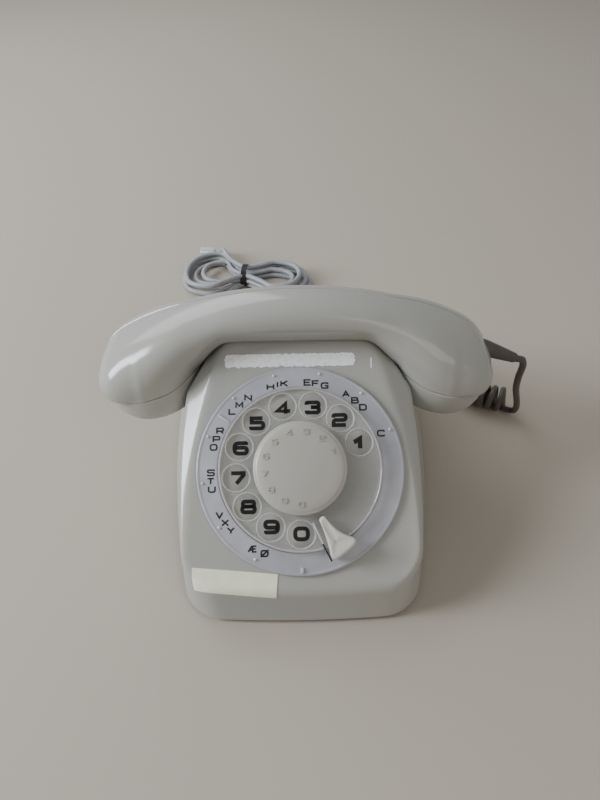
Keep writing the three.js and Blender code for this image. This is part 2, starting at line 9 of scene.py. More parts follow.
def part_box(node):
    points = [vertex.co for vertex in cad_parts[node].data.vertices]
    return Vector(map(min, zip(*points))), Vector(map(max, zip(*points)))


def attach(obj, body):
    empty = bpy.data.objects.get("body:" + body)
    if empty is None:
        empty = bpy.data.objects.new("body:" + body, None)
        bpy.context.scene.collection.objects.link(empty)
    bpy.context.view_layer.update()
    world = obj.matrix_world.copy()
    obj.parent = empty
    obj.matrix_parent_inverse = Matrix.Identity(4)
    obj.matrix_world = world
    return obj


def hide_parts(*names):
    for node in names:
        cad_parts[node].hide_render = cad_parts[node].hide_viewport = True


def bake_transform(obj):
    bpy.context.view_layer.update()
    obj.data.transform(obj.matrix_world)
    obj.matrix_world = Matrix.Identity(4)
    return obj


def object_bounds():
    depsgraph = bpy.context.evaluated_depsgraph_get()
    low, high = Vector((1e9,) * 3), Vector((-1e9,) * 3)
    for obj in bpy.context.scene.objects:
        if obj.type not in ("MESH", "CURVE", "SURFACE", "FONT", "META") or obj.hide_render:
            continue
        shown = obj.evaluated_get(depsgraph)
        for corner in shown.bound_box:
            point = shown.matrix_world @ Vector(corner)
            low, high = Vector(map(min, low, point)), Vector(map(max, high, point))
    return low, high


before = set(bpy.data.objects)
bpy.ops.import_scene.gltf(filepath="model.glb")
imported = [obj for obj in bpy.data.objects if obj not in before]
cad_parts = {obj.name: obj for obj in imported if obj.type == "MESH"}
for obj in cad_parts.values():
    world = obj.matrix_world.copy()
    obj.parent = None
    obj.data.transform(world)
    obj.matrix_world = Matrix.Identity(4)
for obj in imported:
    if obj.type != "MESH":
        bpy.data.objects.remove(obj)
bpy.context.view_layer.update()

MM = 0.001

# ---- The view: a camera looking down at 45 degrees from in front, as someone standing at the
# table would, over a plain pale tabletop lit by two soft windows and the light of the room.
camera_data = bpy.data.cameras.new("camera")
camera_data.lens = 27.45
camera_data.sensor_width = 36
camera_data.clip_start = 0.01
camera = bpy.data.objects.new("camera", camera_data)
camera.matrix_world = (
    Matrix.Translation((0.0005, -0.2398, 0.2964))
    @ Matrix.Rotation(math.radians(45), 4, "X")
    @ Matrix.Rotation(math.radians(-1.1), 4, "Z")
)
bpy.context.scene.collection.objects.link(camera)
bpy.context.scene.camera = camera


def linear(hex_colour, alpha=1.0):
    """An sRGB hex colour as the linear values that a shader takes."""
    values = [int(hex_colour[i:i + 2], 16) / 255 for i in (1, 3, 5)]
    return tuple(c / 12.92 if c <= 0.04045 else ((c + 0.055) / 1.055) ** 2.4 for c in values) + (alpha,)


def add_node(tree, kind, settings=None, links=None, into=None):
    """Adds a node with its settings, links (node, output) pairs into it, and it into a (node, socket)."""
    node = tree.nodes.new(kind)
    for name, value in (settings or {}).items():
        if name == "tones":
            for element, (share, colour) in zip(node.color_ramp.elements, value):
                element.position = share
                element.color = linear(colour)
        elif name in node.inputs.keys():
            node.inputs[name].default_value = value
        else:
            setattr(node, name, value)
    for name, (source, output) in (links or {}).items():
        tree.links.new(source.outputs[output], node.inputs[name])
    if into:
        tree.links.new(node.outputs[0], into[0].inputs[into[1]])
    return node


def new_material(name, settings=None):
    """A node material with its output joined to a Principled shader that has those settings."""
    material = bpy.data.materials.new(name)
    material.use_nodes = True
    tree = material.node_tree
    tree.nodes.clear()
    shader = add_node(tree, "ShaderNodeBsdfPrincipled", settings)
    add_node(tree, "ShaderNodeOutputMaterial", links={"Surface": (shader, "BSDF")})
    return material, tree, shader


def as_object(bm, name):
    """A linked object of what the bmesh holds; the bmesh is freed."""
    mesh = bpy.data.meshes.new(name)
    bm.to_mesh(mesh)
    bm.free()
    made = bpy.data.objects.new(name, mesh)
    bpy.context.scene.collection.objects.link(made)
    return made


bm = bmesh.new()
bmesh.ops.create_grid(bm, x_segments=2, y_segments=2, size=3.0)
floor = as_object(bm, "tabletop")
floor.location.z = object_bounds()[0][2] - 0.0002
cloth, tree, shader = new_material("tablecloth_cream", {"Base Color": linear("#b3aa9c"), "Roughness": 0.9})
floor.data.materials.append(cloth)

world = bpy.data.worlds.new("room")
bpy.context.scene.world = world
world.use_nodes = True
sky = world.node_tree.nodes["Background"].inputs
sky["Color"].default_value = linear("#e9eef2")
sky["Strength"].default_value = 0.42


def window(name, place, width, height, power, colour):
    """A soft rectangular light at place, turned to face the telephone."""
    light = bpy.data.lights.new(name, "AREA")
    light.shape = "RECTANGLE"
    light.size = width
    light.size_y = height
    light.energy = power
    light.color = linear(colour)[:3]
    lamp = bpy.data.objects.new(name, light)
    lamp.location = place
    lamp.rotation_euler = (Vector((0, 0, 0.05)) - Vector(place)).to_track_quat("-Z", "Y").to_euler()
    bpy.context.scene.collection.objects.link(lamp)


window("window_left", (-1.25, -0.1, 0.66), 0.42, 0.8, 25, "#eef3fb")
window("window_right", (0.75, -0.95, 0.95), 0.8, 0.8, 3.5, "#ffeedd")
window("window_back", (-0.7, 0.95, 1.0), 1.2, 0.8, 9.5, "#f4f6f8")

# ---- The line cord: round PVC cable with a smooth cool grey sheath. It comes out of a gland low
# on the back, lies on the table, and is wound five times into a flat bow tied at its waist.


def smooth_path(points, step):
    """Evenly spaced points, step apart, on a smooth curve through the given points."""
    p = np.array(points, float)
    p = np.vstack([2 * p[0] - p[1], p, 2 * p[-1] - p[-2]])
    fine = []
    for a, b, c, d in zip(p[:-3], p[1:-2], p[2:-1], p[3:]):
        for t in np.linspace(0, 1, 24, endpoint=False):
            fine.append(0.5 * (2 * b + (c - a) * t + (2 * a - 5 * b + 4 * c - d) * t * t
                               + (3 * b - a - 3 * c + d) * t ** 3))
    fine.append(p[-2])
    fine = np.array(fine)
    run = np.concatenate([[0], np.cumsum(np.linalg.norm(np.diff(fine, axis=0), axis=1))])
    stations = np.linspace(0, run[-1], max(2, round(run[-1] / step) + 1))
    return np.stack([np.interp(stations, run, fine[:, k]) for k in range(3)], 1)


def path_length(path):
    return float(np.linalg.norm(np.diff(path, axis=0), axis=1).sum())


def cord_tube(name, path, diameter, sides):
    """A closed mesh tube of one diameter along a path given in millimetres."""
    curve = bpy.data.curves.new(name, "CURVE")
    curve.dimensions = "3D"
    curve.bevel_depth = diameter / 2 * MM
    curve.bevel_resolution = sides // 4 - 1
    curve.use_fill_caps = True
    spline = curve.splines.new("POLY")
    spline.points.add(len(path) - 1)
    for point, place in zip(spline.points, path):
        point.co = (*(place * MM), 1)
    maker = bpy.data.objects.new(name + "_maker", curve)
    bpy.context.scene.collection.objects.link(maker)
    bpy.context.view_layer.update()
    mesh = bpy.data.meshes.new_from_object(maker.evaluated_get(bpy.context.evaluated_depsgraph_get()))
    bpy.data.objects.remove(maker)
    mesh.name = name
    for polygon in mesh.polygons:
        polygon.use_smooth = True
    tube = bpy.data.objects.new(name, mesh)
    bpy.context.scene.collection.objects.link(tube)
    return tube


LINE_CORD_D = 4.1
HANK_CENTRE = Vector((-44, 200, 0))
HANK_TURN = Matrix.Rotation(math.radians(-5), 3, "Z")
LINE_EXIT = Vector((-42, 108.9, 11))
line_points = [
    tuple(LINE_EXIT), (-42, 112.5, 10.4), (-42.6, 118, 7), (-44.5, 125, 3.4), (-48.5, 133, 2.45),
    (-54, 140.5, 2.45), (-59.5, 148, 2.45), (-63.5, 157, 2.45), (-65, 166, 2.45), (-63, 174, 2.45),
    (-58, 181, 2.45),
]
# each turn: waist column and layer, then the reach and half-width of its right and left loops
hank_turns = [
    (1, 0, 55.0, 18.5, 52.0, 27.0), (0, 0, 44.0, 11.5, 43.0, 19.5), (0, 1, 41.0, 13.0, 36.0, 15.5),
    (1, 1, 51.5, 20.0, 50.0, 28.5), (1, 2, 46.5, 18.0, 46.0, 25.5),
]
CORD_REST = 2.45
HANK_LAYER = 4.25
WAIST_STEP = 4.3
for turn, (column, layer, reach_r, half_r, reach_l, half_l) in enumerate(hank_turns):
    waist = 2.2 + WAIST_STEP * column
    z = CORD_REST + HANK_LAYER * layer
    following = hank_turns[min(turn + 1, len(hank_turns) - 1)]
    next_z = CORD_REST + HANK_LAYER * following[1]
    next_waist = 2.2 + WAIST_STEP * following[0]
    lift_l = 4.5
    lift_r = -2.5
    loop = [
        (0, -waist, z), (14, -0.6 * half_r - waist * 0.3, z), (0.55 * reach_r, lift_r - half_r, z),
        (0.88 * reach_r, lift_r - 0.72 * half_r, z), (reach_r, lift_r, z),
        (0.88 * reach_r, lift_r + 0.72 * half_r, z), (0.55 * reach_r, lift_r + half_r, z),
        (14, 0.5 * half_r + waist * 0.3, z), (0, waist, z),
        (-12, 0.5 * half_l + waist * 0.3, z), (-0.5 * reach_l, lift_l + half_l, z),
        (-0.87 * reach_l, lift_l + 0.74 * half_l, z), (-reach_l, lift_l, 0.75 * z + 0.25 * next_z),
    ]
    if turn == len(hank_turns) - 1:
        loop = loop[:10]
    else:
        loop += [
            (-0.87 * reach_l, lift_l - 0.74 * half_l, 0.35 * z + 0.65 * next_z),
            (-0.5 * reach_l, lift_l - half_l * 0.98, next_z),
            (-14, -0.5 * half_l - next_waist * 0.2, next_z),
        ]
    for x, y, height in loop:
        place = HANK_TURN @ Vector((x, y, 0)) + HANK_CENTRE
        line_points.append((place.x, place.y, height))
line_points += [
    (-60.0, 224.5, 10.95), (-63.2, 232.5, 10.95), (-65.4, 238.2, 9.2), (-67.6, 241.6, 6.0),
    (-70.4, 242.5, 4.2), (-73.6, 242.5, 3.7),
]
line_path = smooth_path(line_points, 2.0)
line_cord = cord_tube("line_cord", line_path, LINE_CORD_D, 16)


def sheath(name, colour, paler, roughness, grain_mm, bump):
    """Extruded cord sheath: nearly one colour, faint handling dirt and a fine drawn grain."""
    material, tree, shader = new_material(name, {"IOR": 1.52})
    place = {"Vector": (add_node(tree, "ShaderNodeTexCoord"), "Object")}
    dirt = add_node(tree, "ShaderNodeTexNoise", {"Scale": 1 / (14 * MM), "Detail": 3.0}, place)
    add_node(tree, "ShaderNodeValToRGB", {"tones": ((0.3, colour), (0.7, paler))}, {"Fac": (dirt, "Fac")},
             (shader, "Base Color"))
    grain = add_node(tree, "ShaderNodeTexNoise", {"Scale": 1 / (grain_mm * MM), "Detail": 2.0}, place)
    add_node(tree, "ShaderNodeMapRange", {"To Min": roughness - 0.06, "To Max": roughness + 0.08},
             {"Value": (dirt, "Fac")}, (shader, "Roughness"))
    add_node(tree, "ShaderNodeBump", {"Strength": bump, "Distance": 0.05 * MM}, {"Height": (grain, "Fac")},
             (shader, "Normal"))
    return material


pvc_cool_grey = sheath("pvc_cool_grey", "#8f9396", "#a2a6a8", 0.42, 0.5, 0.12)
line_cord.data.materials.append(pvc_cool_grey)
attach(line_cord, "case")
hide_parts("line_cord_lead", "line_cord_hank")

# The tie is a strap of black soft plastic wrapped twice round the waist of the bow and pulled in.


def shell_of(name, bm, material, body, replaces=(), smooth=35):
    """A riding piece from a bmesh in millimetres, smooth but for edges sharper than smooth degrees."""
    bmesh.ops.scale(bm, verts=bm.verts, vec=(MM, MM, MM))
    piece = as_object(bm, name)
    piece.data.materials.append(material)
    for polygon in piece.data.polygons:
        polygon.use_smooth = True
    piece.data.set_sharp_from_angle(angle=math.radians(smooth))
    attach(piece, body)
    if replaces:
        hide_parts(*replaces)
    return piece


def face_outwards(bm):
    bmesh.ops.recalc_face_normals(bm, faces=bm.faces)


def spun(profile, steps, matrix=Matrix.Identity(4), closed=False):
    """A bmesh turned from [radius, height] points about Z, its seam and poles merged."""
    bm = bmesh.new()
    verts = [bm.verts.new((r, 0, h)) for r, h in profile]
    edges = [bm.edges.new(pair) for pair in zip(verts[:-1], verts[1:])]
    if closed:
        edges.append(bm.edges.new((verts[-1], verts[0])))
    bmesh.ops.spin(bm, geom=verts + edges, cent=(0, 0, 0), axis=(0, 0, 1), angle=math.tau, steps=steps,
                   use_merge=True)
    bmesh.ops.remove_doubles(bm, verts=bm.verts, dist=1e-4)
    face_outwards(bm)
    bmesh.ops.transform(bm, matrix=matrix, verts=bm.verts)
    return bm


def block(bm, place, x, y, z):
    """Adds a box of that size centred on place, and returns its faces."""
    made = bmesh.ops.create_cube(bm, size=1, matrix=place @ Matrix.Diagonal((x, y, z, 1)))
    return {f for v in made["verts"] for f in v.link_faces}


def rounded(bm, edges, offset):
    bmesh.ops.bevel(bm, geom=edges, offset=offset, offset_type="OFFSET", segments=2, profile=0.5, affect="EDGES",
                    material=-1)


black_strap = sheath("pe_black_strap", "#0f0f0f", "#181817", 0.5, 0.4, 0.2)
tie_place = Matrix.Translation(HANK_CENTRE) @ HANK_TURN.to_4x4()
bm = bmesh.new()
tie_w, tie_h = 8.5, 7.6
tie_section = [(-1.2, 0), (1.2, 0), (1.2, 0.9), (-1.2, 0.9)]
for shift, lean in ((-1.35, 0.05), (1.35, -0.06)):
    loops = []
    for k in range(32):
        a = math.tau * k / 32
        c, s = math.cos(a), math.sin(a)
        y = math.copysign(abs(c) ** 0.7, c)
        z = math.copysign(abs(s) ** 0.7, s)
        ring = []
        for along, out in tie_section:
            top = 6.95 + (tie_h + out - 0.6) * z
            ring.append(bm.verts.new((shift + along + lean * (tie_h * z), (tie_w + out) * y, max(0.25, top))))
        loops.append(ring)
    for k in range(32):
        a, b = loops[k], loops[(k + 1) % 32]
        for i in range(4):
            bm.faces.new((a[i], a[(i + 1) % 4], b[(i + 1) % 4], b[i]))
face_outwards(bm)
bmesh.ops.transform(bm, matrix=tie_place, verts=bm.verts)
line_tie = shell_of("line_cord_strap", bm, black_strap, "case", ["line_cord_tie"])

# The plug is a small clear modular plug: a polycarbonate block with a latch and gold contacts.
polycarbonate, tree, shader = new_material(
    "polycarbonate_clear", {"Base Color": linear("#e4e6e2"), "Roughness": 0.12, "Alpha": 0.62, "IOR": 1.58})
plug_lo, plug_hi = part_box("line_cord_plug")
plug_c = (plug_lo + plug_hi) / 2 / MM
bm = bmesh.new()
block(bm, Matrix.Translation(plug_c), 12.6, 9.6, 5.6)
rounded(bm, bm.edges[:], 0.4)
latch_place = Matrix.Translation(plug_c + Vector((0.6, 0, 3.3))) @ Matrix.Rotation(math.radians(5), 4, "Y")
block(bm, latch_place, 11, 3.2, 0.7)
for k in range(4):
    for f in block(bm, Matrix.Translation(plug_c + Vector((-5.2, -2.2 + 1.45 * k, -2.5))), 2.6, 0.4, 1.2):
        f.material_index = 1
line_plug = shell_of("modular_plug", bm, polycarbonate, "case", ["line_cord_plug"])
gilt, tree, shader = new_material(
    "contact_gilt", {"Base Color": linear("#c8a24e"), "Metallic": 1.0, "Roughness": 0.3})
line_plug.data.materials.append(gilt)

# ---- The handset cord: a soft PVC cable set into tight curls. A tapered boot leaves the end of
# the handset; the lead drops to the table, the curls lie round behind and a tail enters the back.
HANDSET_CORD_D = 4.0
CURL_R = (17.2 - HANDSET_CORD_D) / 2
CURL_PITCH = 5.6
lead_points = [
    (119.6, 12.5, 73.3), (122, 13, 72.4), (124.6, 14, 70.6), (126.9, 16.2, 64), (128.4, 20, 52), (131.6, 25, 38),
    (137, 30.5, 23), (140.6, 34.8, 11.5), (140.8, 38.6, 4.4),
]
curl_axis = smooth_path([
    (136.4, 44.2, 8.8), (130.5, 46.0, 8.8), (124, 48.8, 8.8), (116, 53.8, 8.8), (109.5, 61.5, 8.8), (106, 73, 8.8),
    (103.5, 87, 8.8), (98.5, 100, 8.8), (89.5, 111, 8.8), (77.5, 118, 8.8), (64.5, 120, 8.8),
], 1.0)
tail_points = [(62.8, 116.0, 14.8), (58.2, 114.9, 13.6), (52.6, 115.3, 12.6), (48.0, 113.4, 12.1), (46, 108.9, 12)]
START_ANGLE = math.radians(-100)
turns = math.floor(path_length(curl_axis) / CURL_PITCH) + 0.53
samples = round(turns * 14)
helix = []
for k, where in enumerate(np.linspace(0, len(curl_axis) - 1, samples)):
    i = min(int(where), len(curl_axis) - 2)
    centre = Vector(curl_axis[i]).lerp(Vector(curl_axis[i + 1]), where - i)
    along = Vector(curl_axis[i + 1] - curl_axis[i]).normalized()
    across = along.cross(Vector((0, 0, 1))).normalized()
    angle = START_ANGLE + math.tau * turns * k / (samples - 1)
    helix.append(centre + across * (CURL_R * math.cos(angle)) + Vector((0, 0, CURL_R * math.sin(angle))))
handset_path = smooth_path(lead_points + [tuple(p) for p in helix] + tail_points, 1.2)
handset_cord = cord_tube("handset_cord", handset_path, HANDSET_CORD_D, 12)
pvc_brown_grey = sheath("pvc_brown_grey", "#4a443e", "#5c554e", 0.42, 0.6, 0.25)
handset_cord.data.materials.append(pvc_brown_grey)
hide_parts("handset_cord_lead", "handset_cord_curl", "handset_cord_tail")
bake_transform(handset_cord)

# The boot is moulded on the cord: soft PVC, wide at the handset and narrowing to the cord.
BOOT_LENGTH = 20
BOOT_R = 4.6
boot_place = Matrix.Translation((101, 12.5, 81.4)) @ Matrix.Rotation(math.radians(113), 4, "Y")
boot_profile = [(0, -4), (BOOT_R, -4)]
for h in [1.0 + k * 1.02 for k in range(18)]:
    boot_profile.append((BOOT_R - 1.9 * (h / BOOT_LENGTH) ** 1.1, h))
boot_profile += [(2.75, 19.4), (2.4, BOOT_LENGTH), (0, BOOT_LENGTH)]
bm = spun(boot_profile, 32, boot_place)
shell_of("handset_cord_sleeve", bm, pvc_brown_grey, "handset", ["handset_cord_boot"], 50)


def finish_nodes(material, nodes):
    """Gives CAD nodes, named in one string, their material."""
    for node in nodes.split():
        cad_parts[node].data.materials.clear()
        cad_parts[node].data.materials.append(material)


finish_nodes(pvc_brown_grey, "handset_cord_gland")
finish_nodes(pvc_cool_grey, "line_cord_gland")

# ---- The handset: two glossy ABS mouldings joined along the back edge. The grip is a gently
# arched bar that widens and drops at each end into a cup; a screw-on cap closes each cup.


def glossy_abs(name, colour, worn, roughness, smudge=0.1):
    """Injection-moulded ABS: an even body colour gone slightly yellow, soft gloss dulled by
    handling, and the very shallow waviness of a moulded wall."""
    material, tree, shader = new_material(name, {"IOR": 1.54})
    place = {"Vector": (add_node(tree, "ShaderNodeTexCoord"), "Object")}
    patches = add_node(tree, "ShaderNodeTexNoise", {"Scale": 1 / (38 * MM), "Detail": 4.0, "Roughness": 0.55}, place)
    tint = add_node(tree, "ShaderNodeValToRGB", {"tones": ((0.35, colour), (0.72, worn))}, {"Fac": (patches, "Fac")})
    specks = add_node(tree, "ShaderNodeTexVoronoi", {"Scale": 1 / (9 * MM), "Randomness": 1.0}, place)
    dust = add_node(tree, "ShaderNodeMapRange", {"From Min": 0.02, "From Max": 0.05, "To Min": 0.16, "To Max": 0.0},
                    {"Value": (specks, "Distance")})
    stained = add_node(tree, "ShaderNodeMix", {"data_type": "RGBA"})
    tree.links.new(dust.outputs["Result"], stained.inputs[0])
    tree.links.new(tint.outputs["Color"], stained.inputs[6])
    stained.inputs[7].default_value = linear("#6a655b")
    tree.links.new(stained.outputs[2], shader.inputs["Base Color"])
    rub = add_node(tree, "ShaderNodeTexNoise", {"Scale": 1 / (11 * MM), "Detail": 5.0, "Roughness": 0.6}, place)
    add_node(tree, "ShaderNodeMapRange", {"From Min": 0.35, "From Max": 0.7, "To Min": roughness,
                                          "To Max": roughness + smudge}, {"Value": (rub, "Fac")}, (shader, "Roughness"))
    wave = add_node(tree, "ShaderNodeTexNoise", {"Scale": 1 / (16 * MM), "Detail": 1.0}, place)
    add_node(tree, "ShaderNodeBump", {"Strength": 0.12, "Distance": 0.25 * MM}, {"Height": (wave, "Fac")},
             (shader, "Normal"))
    return material


abs_grey = glossy_abs("abs_warm_grey_gloss", "#a8a8a3", "#aba99f", 0.13, 0.08)

BAR_Y = 12
GRIP_X = -1
CUP_X = 78.5
CUP_Z = 73.5
CUP_R = 28.6
CUP_TILT = math.radians(14.5)
PARTING_ANGLE = math.radians(75)
PARTING_STEP = 0.026
PARTING_DEPTH = 0.7
BACK_STEPS = 30


def ease(value, low, high):
    t = min(1.0, max(0.0, (value - low) / (high - low)))
    return t * t * (3 - 2 * t)


def averaged(curve, reach):
    """A curve of the reach averaged over a few millimetres, so that its pieces run into each other."""
    spread = 7 * (1 - ease(reach, 82, 96))
    shares = ((-1, 1), (-0.66, 2), (-0.33, 3), (0, 3), (0.33, 3), (0.66, 2), (1, 1))
    return sum(weight * curve(abs(reach + spread * shift)) for shift, weight in shares) / 15


def grip_section(x, count):
    """One cross-section of the grip at x: a rounded back, sides that fall to the rim, a flat underside."""
    reach = abs(x)
    along = 84 + (x - 84) * 0.957 if x > 84 else x
    u = max(0.0, (reach - 84) / 23.2)
    top = 119.6 - (185 - math.sqrt(185 * 185 - x * x)) - 26 * (1 - max(0.0, 1 - u ** 3.8) ** (1 / 3.8))
    rim = CUP_Z - (abs(along) - CUP_X) * math.tan(CUP_TILT) + 0.3
    bottom = min(top - 0.6, 95.9 + (rim - 95.9) * ease(reach, 35, 56))
    chord = math.sqrt(max(1.0, CUP_R ** 2 - ((abs(along) - CUP_X) / math.cos(CUP_TILT)) ** 2))
    nosing = 28.2 * max(0.0, 1 - u ** 3) ** (1 / 3)
    body = averaged(lambda r: 15.5 + (CUP_R - 15.5) * ease(r, 36, CUP_X) if r < CUP_X else CUP_R, reach)
    width = body if reach < CUP_X else max(chord, min(nosing, body))
    foot = max((0.52 + 0.06 * ease(reach, 26, 46)) * width * (1 - ease(reach, 60, 80)), min(chord, width))
    share = averaged(lambda r: ease(r, 40, 86), reach)
    widest = (top + bottom) / 2 * (1 - share) + min(rim + 4, (top + rim) / 2) * share
    points = []
    seam = [PARTING_ANGLE + t for t in (-PARTING_STEP, 0, PARTING_STEP)]
    for a in sorted([math.pi * k / count for k in range(count + 1)] + seam):
        y = math.copysign(abs(math.cos(a)) ** 0.85, math.cos(a)) * width
        points.append((along, y, widest + (top - widest) * max(0.0, math.sin(a)) ** 0.85))
    side = count // 3
    down = [math.sin(math.pi / 2 * (k + 1) / side) for k in range(side)]
    tuck = 1 - ease(reach, 58, 74)
    fall = []
    for s in down:
        bulge = (1 - tuck) * math.sqrt(max(0, 1 - s * s)) + tuck * max(0, 1 - s) ** 0.8
        fall.append((foot + (width - foot) * bulge, widest + (bottom - widest) * s))
    points += [(along, -y, z) for y, z in fall]
    points += [(along, foot * t, bottom) for t in (-0.75, -0.5, -0.25, 0, 0.25, 0.5, 0.75)]
    points += [(along, y, z) for y, z in reversed(fall)]
    pull = 3.4 * ease(reach, 88, 104)
    return [(px - math.copysign(pull * max(0.0, 1 - (z - rim) / 13) ** 2, px), y, z) for px, y, z in points]


stations = [0.0]
while stations[-1] < 106.85:
    remaining = 107.1 - stations[-1]
    step = 2.6 if stations[-1] < 30 else 1.4
    stations.append(min(106.9, stations[-1] + min(step, max(0.16, 0.28 * remaining))))
stations = [-x for x in reversed(stations[1:])] + stations


def lofted(sections):
    """A closed bmesh bridged through rings of points, and its rings of vertices."""
    bm = bmesh.new()
    rings = [[bm.verts.new(p) for p in section] for section in sections]
    loops = [[bm.edges.new((ring[i], ring[(i + 1) % len(ring)])) for i in range(len(ring))] for ring in rings]
    for before, after in zip(loops[:-1], loops[1:]):
        bmesh.ops.bridge_loops(bm, edges=before + after)
    for end in (loops[0], loops[-1]):
        bmesh.ops.contextual_create(bm, geom=end)
    return bm, rings


bm, rings = lofted([grip_section(x, BACK_STEPS) for x in stations])
face_outwards(bm)
bm.normal_update()
groove = sum(1 for k in range(BACK_STEPS + 1) if math.pi * k / BACK_STEPS < PARTING_ANGLE) + 1
for ring in rings[6:-6]:
    before, here, after = ring[groove - 1:groove + 2]
    here.co = (before.co + after.co) / 2 - here.normal * PARTING_DEPTH
bmesh.ops.translate(bm, verts=bm.verts, vec=(GRIP_X, BAR_Y, 0))
shell_of("handset_moulding", bm, abs_grey, "handset", ["handset_grip"], 40)


def pierced(bm, cutter, wall=0.0):
    """The bmesh, given a wall that thick if it is open, with the cutter's closed shapes cut away."""
    body, tool = as_object(bm, "body"), as_object(cutter, "cutter")
    if wall:
        thicken = body.modifiers.new("wall", "SOLIDIFY")
        thicken.thickness = wall
        thicken.offset = -1
    cut = body.modifiers.new("openings", "BOOLEAN")
    cut.object = tool
    cut.solver = "EXACT"
    bpy.context.view_layer.update()
    bm = bmesh.new()
    bm.from_object(body, bpy.context.evaluated_depsgraph_get())
    bpy.data.objects.remove(tool)
    bpy.data.objects.remove(body)
    return bm


def rod(bm, place, radius, depth, segments):
    """Adds a closed round bar, centred on place and lying along its Z."""
    bmesh.ops.create_cone(bm, cap_ends=True, segments=segments, radius1=radius, radius2=radius, depth=depth,
                          matrix=place)


cap_profile = [
    (0, -0.6), (27.6, -0.6), (28.2, -0.15), (28.6, -0.6), (28.55, -3.5), (28.4, -7), (27.6, -11.2), (26.4, -14.2),
    (25.6, -15.5), (24.4, -16.3), (22.8, -16.5), (20, -16.1), (12, -15.3), (0, -14.8),
]
for side, part in ((-1, "ear"), (1, "mouth")):
    bm = spun(cap_profile, 96)
    rounded(bm, [e for e in bm.edges if e.calc_face_angle(0) > 0.5 and e.verts[0].co.z < -10], 0.3)
    sound_holes = bmesh.new()
    for ring_r, count in ((0, 1), (5.5, 6), (11, 12)):
        for a in [math.tau * k / count for k in range(count)]:
            rod(sound_holes, Matrix.Translation((ring_r * math.cos(a), ring_r * math.sin(a), -16.2)), 1.1, 6, 14)
    bm = pierced(bm, sound_holes)
    cup_place = Matrix.Translation((GRIP_X + side * CUP_X, BAR_Y, CUP_Z)) @ Matrix.Rotation(side * CUP_TILT, 4, "Y")
    bmesh.ops.transform(bm, matrix=cup_place, verts=bm.verts)
    shell_of(part + "piece_cap", bm, abs_grey, "handset", [part + "_cap"], 40)

# ---- The case: one glossy ABS moulding open underneath, a wedge with a flat face for the dial,
# bevelled shoulders, a hollow at each side for the cups and walls that flare towards the table.
FACE_SLOPE = math.radians(35)
face_normal = np.array([0, -math.sin(FACE_SLOPE), math.cos(FACE_SLOPE)])
face_up = np.array([0, math.cos(FACE_SLOPE), math.sin(FACE_SLOPE)])
face_origin = np.array([0, -96.0, 24.0])
DIAL_UP = 57.5
dial_centre = face_origin + DIAL_UP * face_up
case_levels = np.array([
    # height, half-widths at the front corner, middle and rear corner, then the front's and rear's y
    [2.5, 61, 83, 79, -101, 101], [14, 60.2, 77, 74, -99, 99.5], [28, 59.4, 71, 68, -96.5, 98],
    [45, 58.9, 66, 62, -96, 97], [62, 58.7, 63, 57, -96, 96], [78, 58.5, 59, 52, -96, 95],
    [99.4, 58, 50.5, 44, -96, 94],
])
level_fits = [np.polyfit(case_levels[:, 0], case_levels[:, k], 4) for k in range(1, 6)]
shoulder_line = [(57.6, 30), (55.0, 64), (49.6, 89), (40.6, 118)]
SHOULDER_TILT = math.radians(28)
MIDDLE = 0.5366
CASE_TOP = 95.4
TABLE_GAP = 2.5


def soft_max(a, b, k):
    h = np.maximum(k - np.abs(a - b), 0)
    return np.maximum(a, b) + h * h / (4 * k)


def fillet(a, b, r):
    return np.minimum(np.maximum(a, b) + r, 0) + np.hypot(np.maximum(a + r, 0), np.maximum(b + r, 0)) - r


def case_field(p):
    """Negative inside the case's outer form: its walls, face, shoulders, top and hollows, blended."""
    x, y, z = np.abs(p[:, 0]), p[:, 1], np.clip(p[:, 2], 0, 99)
    front, middle, rear, y0, y1 = [np.polyval(f, z) for f in level_fits]
    half = 0.25 * front + 0.5 * middle + 0.25 * rear
    a = (y + 84) / 164
    side_at = (front * (1 - a) * (1 - a / MIDDLE) + half * a * (1 - a) / (MIDDLE * (1 - MIDDLE))
               + rear * a * (a - MIDDLE) / (1 - MIDDLE))
    side = (x - side_at) * 0.96
    ahead = (y0 - 0.6 + 2.6 * (x / 60) ** 2) - y
    behind = y - (y1 + 0.4 - 2.0 * (x / 70) ** 2)
    walls = fillet(fillet(side, ahead, 15), behind, 20)
    face = (p - face_origin) @ face_normal
    form = soft_max(walls, face, 2.4)
    shoulder = None
    for (xa, va), (xb, vb) in zip(shoulder_line[:-1], shoulder_line[1:]):
        low = np.array([xa, 0, 0]) + face_origin + va * face_up
        high = np.array([xb, 0, 0]) + face_origin + vb * face_up
        along = (high - low) / np.linalg.norm(high - low)
        c, s = math.cos(SHOULDER_TILT), math.sin(SHOULDER_TILT)
        normal = face_normal * c + np.cross(along, face_normal) * s
        mirrored = np.stack([x, p[:, 1], p[:, 2]], 1)
        height = (mirrored - low) @ normal
        shoulder = height if shoulder is None else soft_max(shoulder, height, 1.2)
    form = soft_max(form, shoulder, 0.9)
    fall = np.interp(x, [28, 32, 35, 38, 41, 44, 47, 50, 60], [0, 0.1, 0.5, 1.7, 3.9, 6.6, 9.2, 11, 14.5])
    form = soft_max(form, (p[:, 2] - CASE_TOP + fall) * 0.85, 1.6)
    rear_normal = np.array([0, math.sin(math.radians(52)), math.cos(math.radians(52))])
    form = soft_max(form, (p - np.array([0, 40, CASE_TOP])) @ rear_normal, 5)
    cup = (np.hypot((x - 80) / 32.2, (p[:, 1] - 12) / 29.8) - 1) * 31
    form = soft_max(form, -soft_max(cup, 57.5 - p[:, 2], 7), 1.5)
    return np.maximum(form, -8 - p[:, 2])


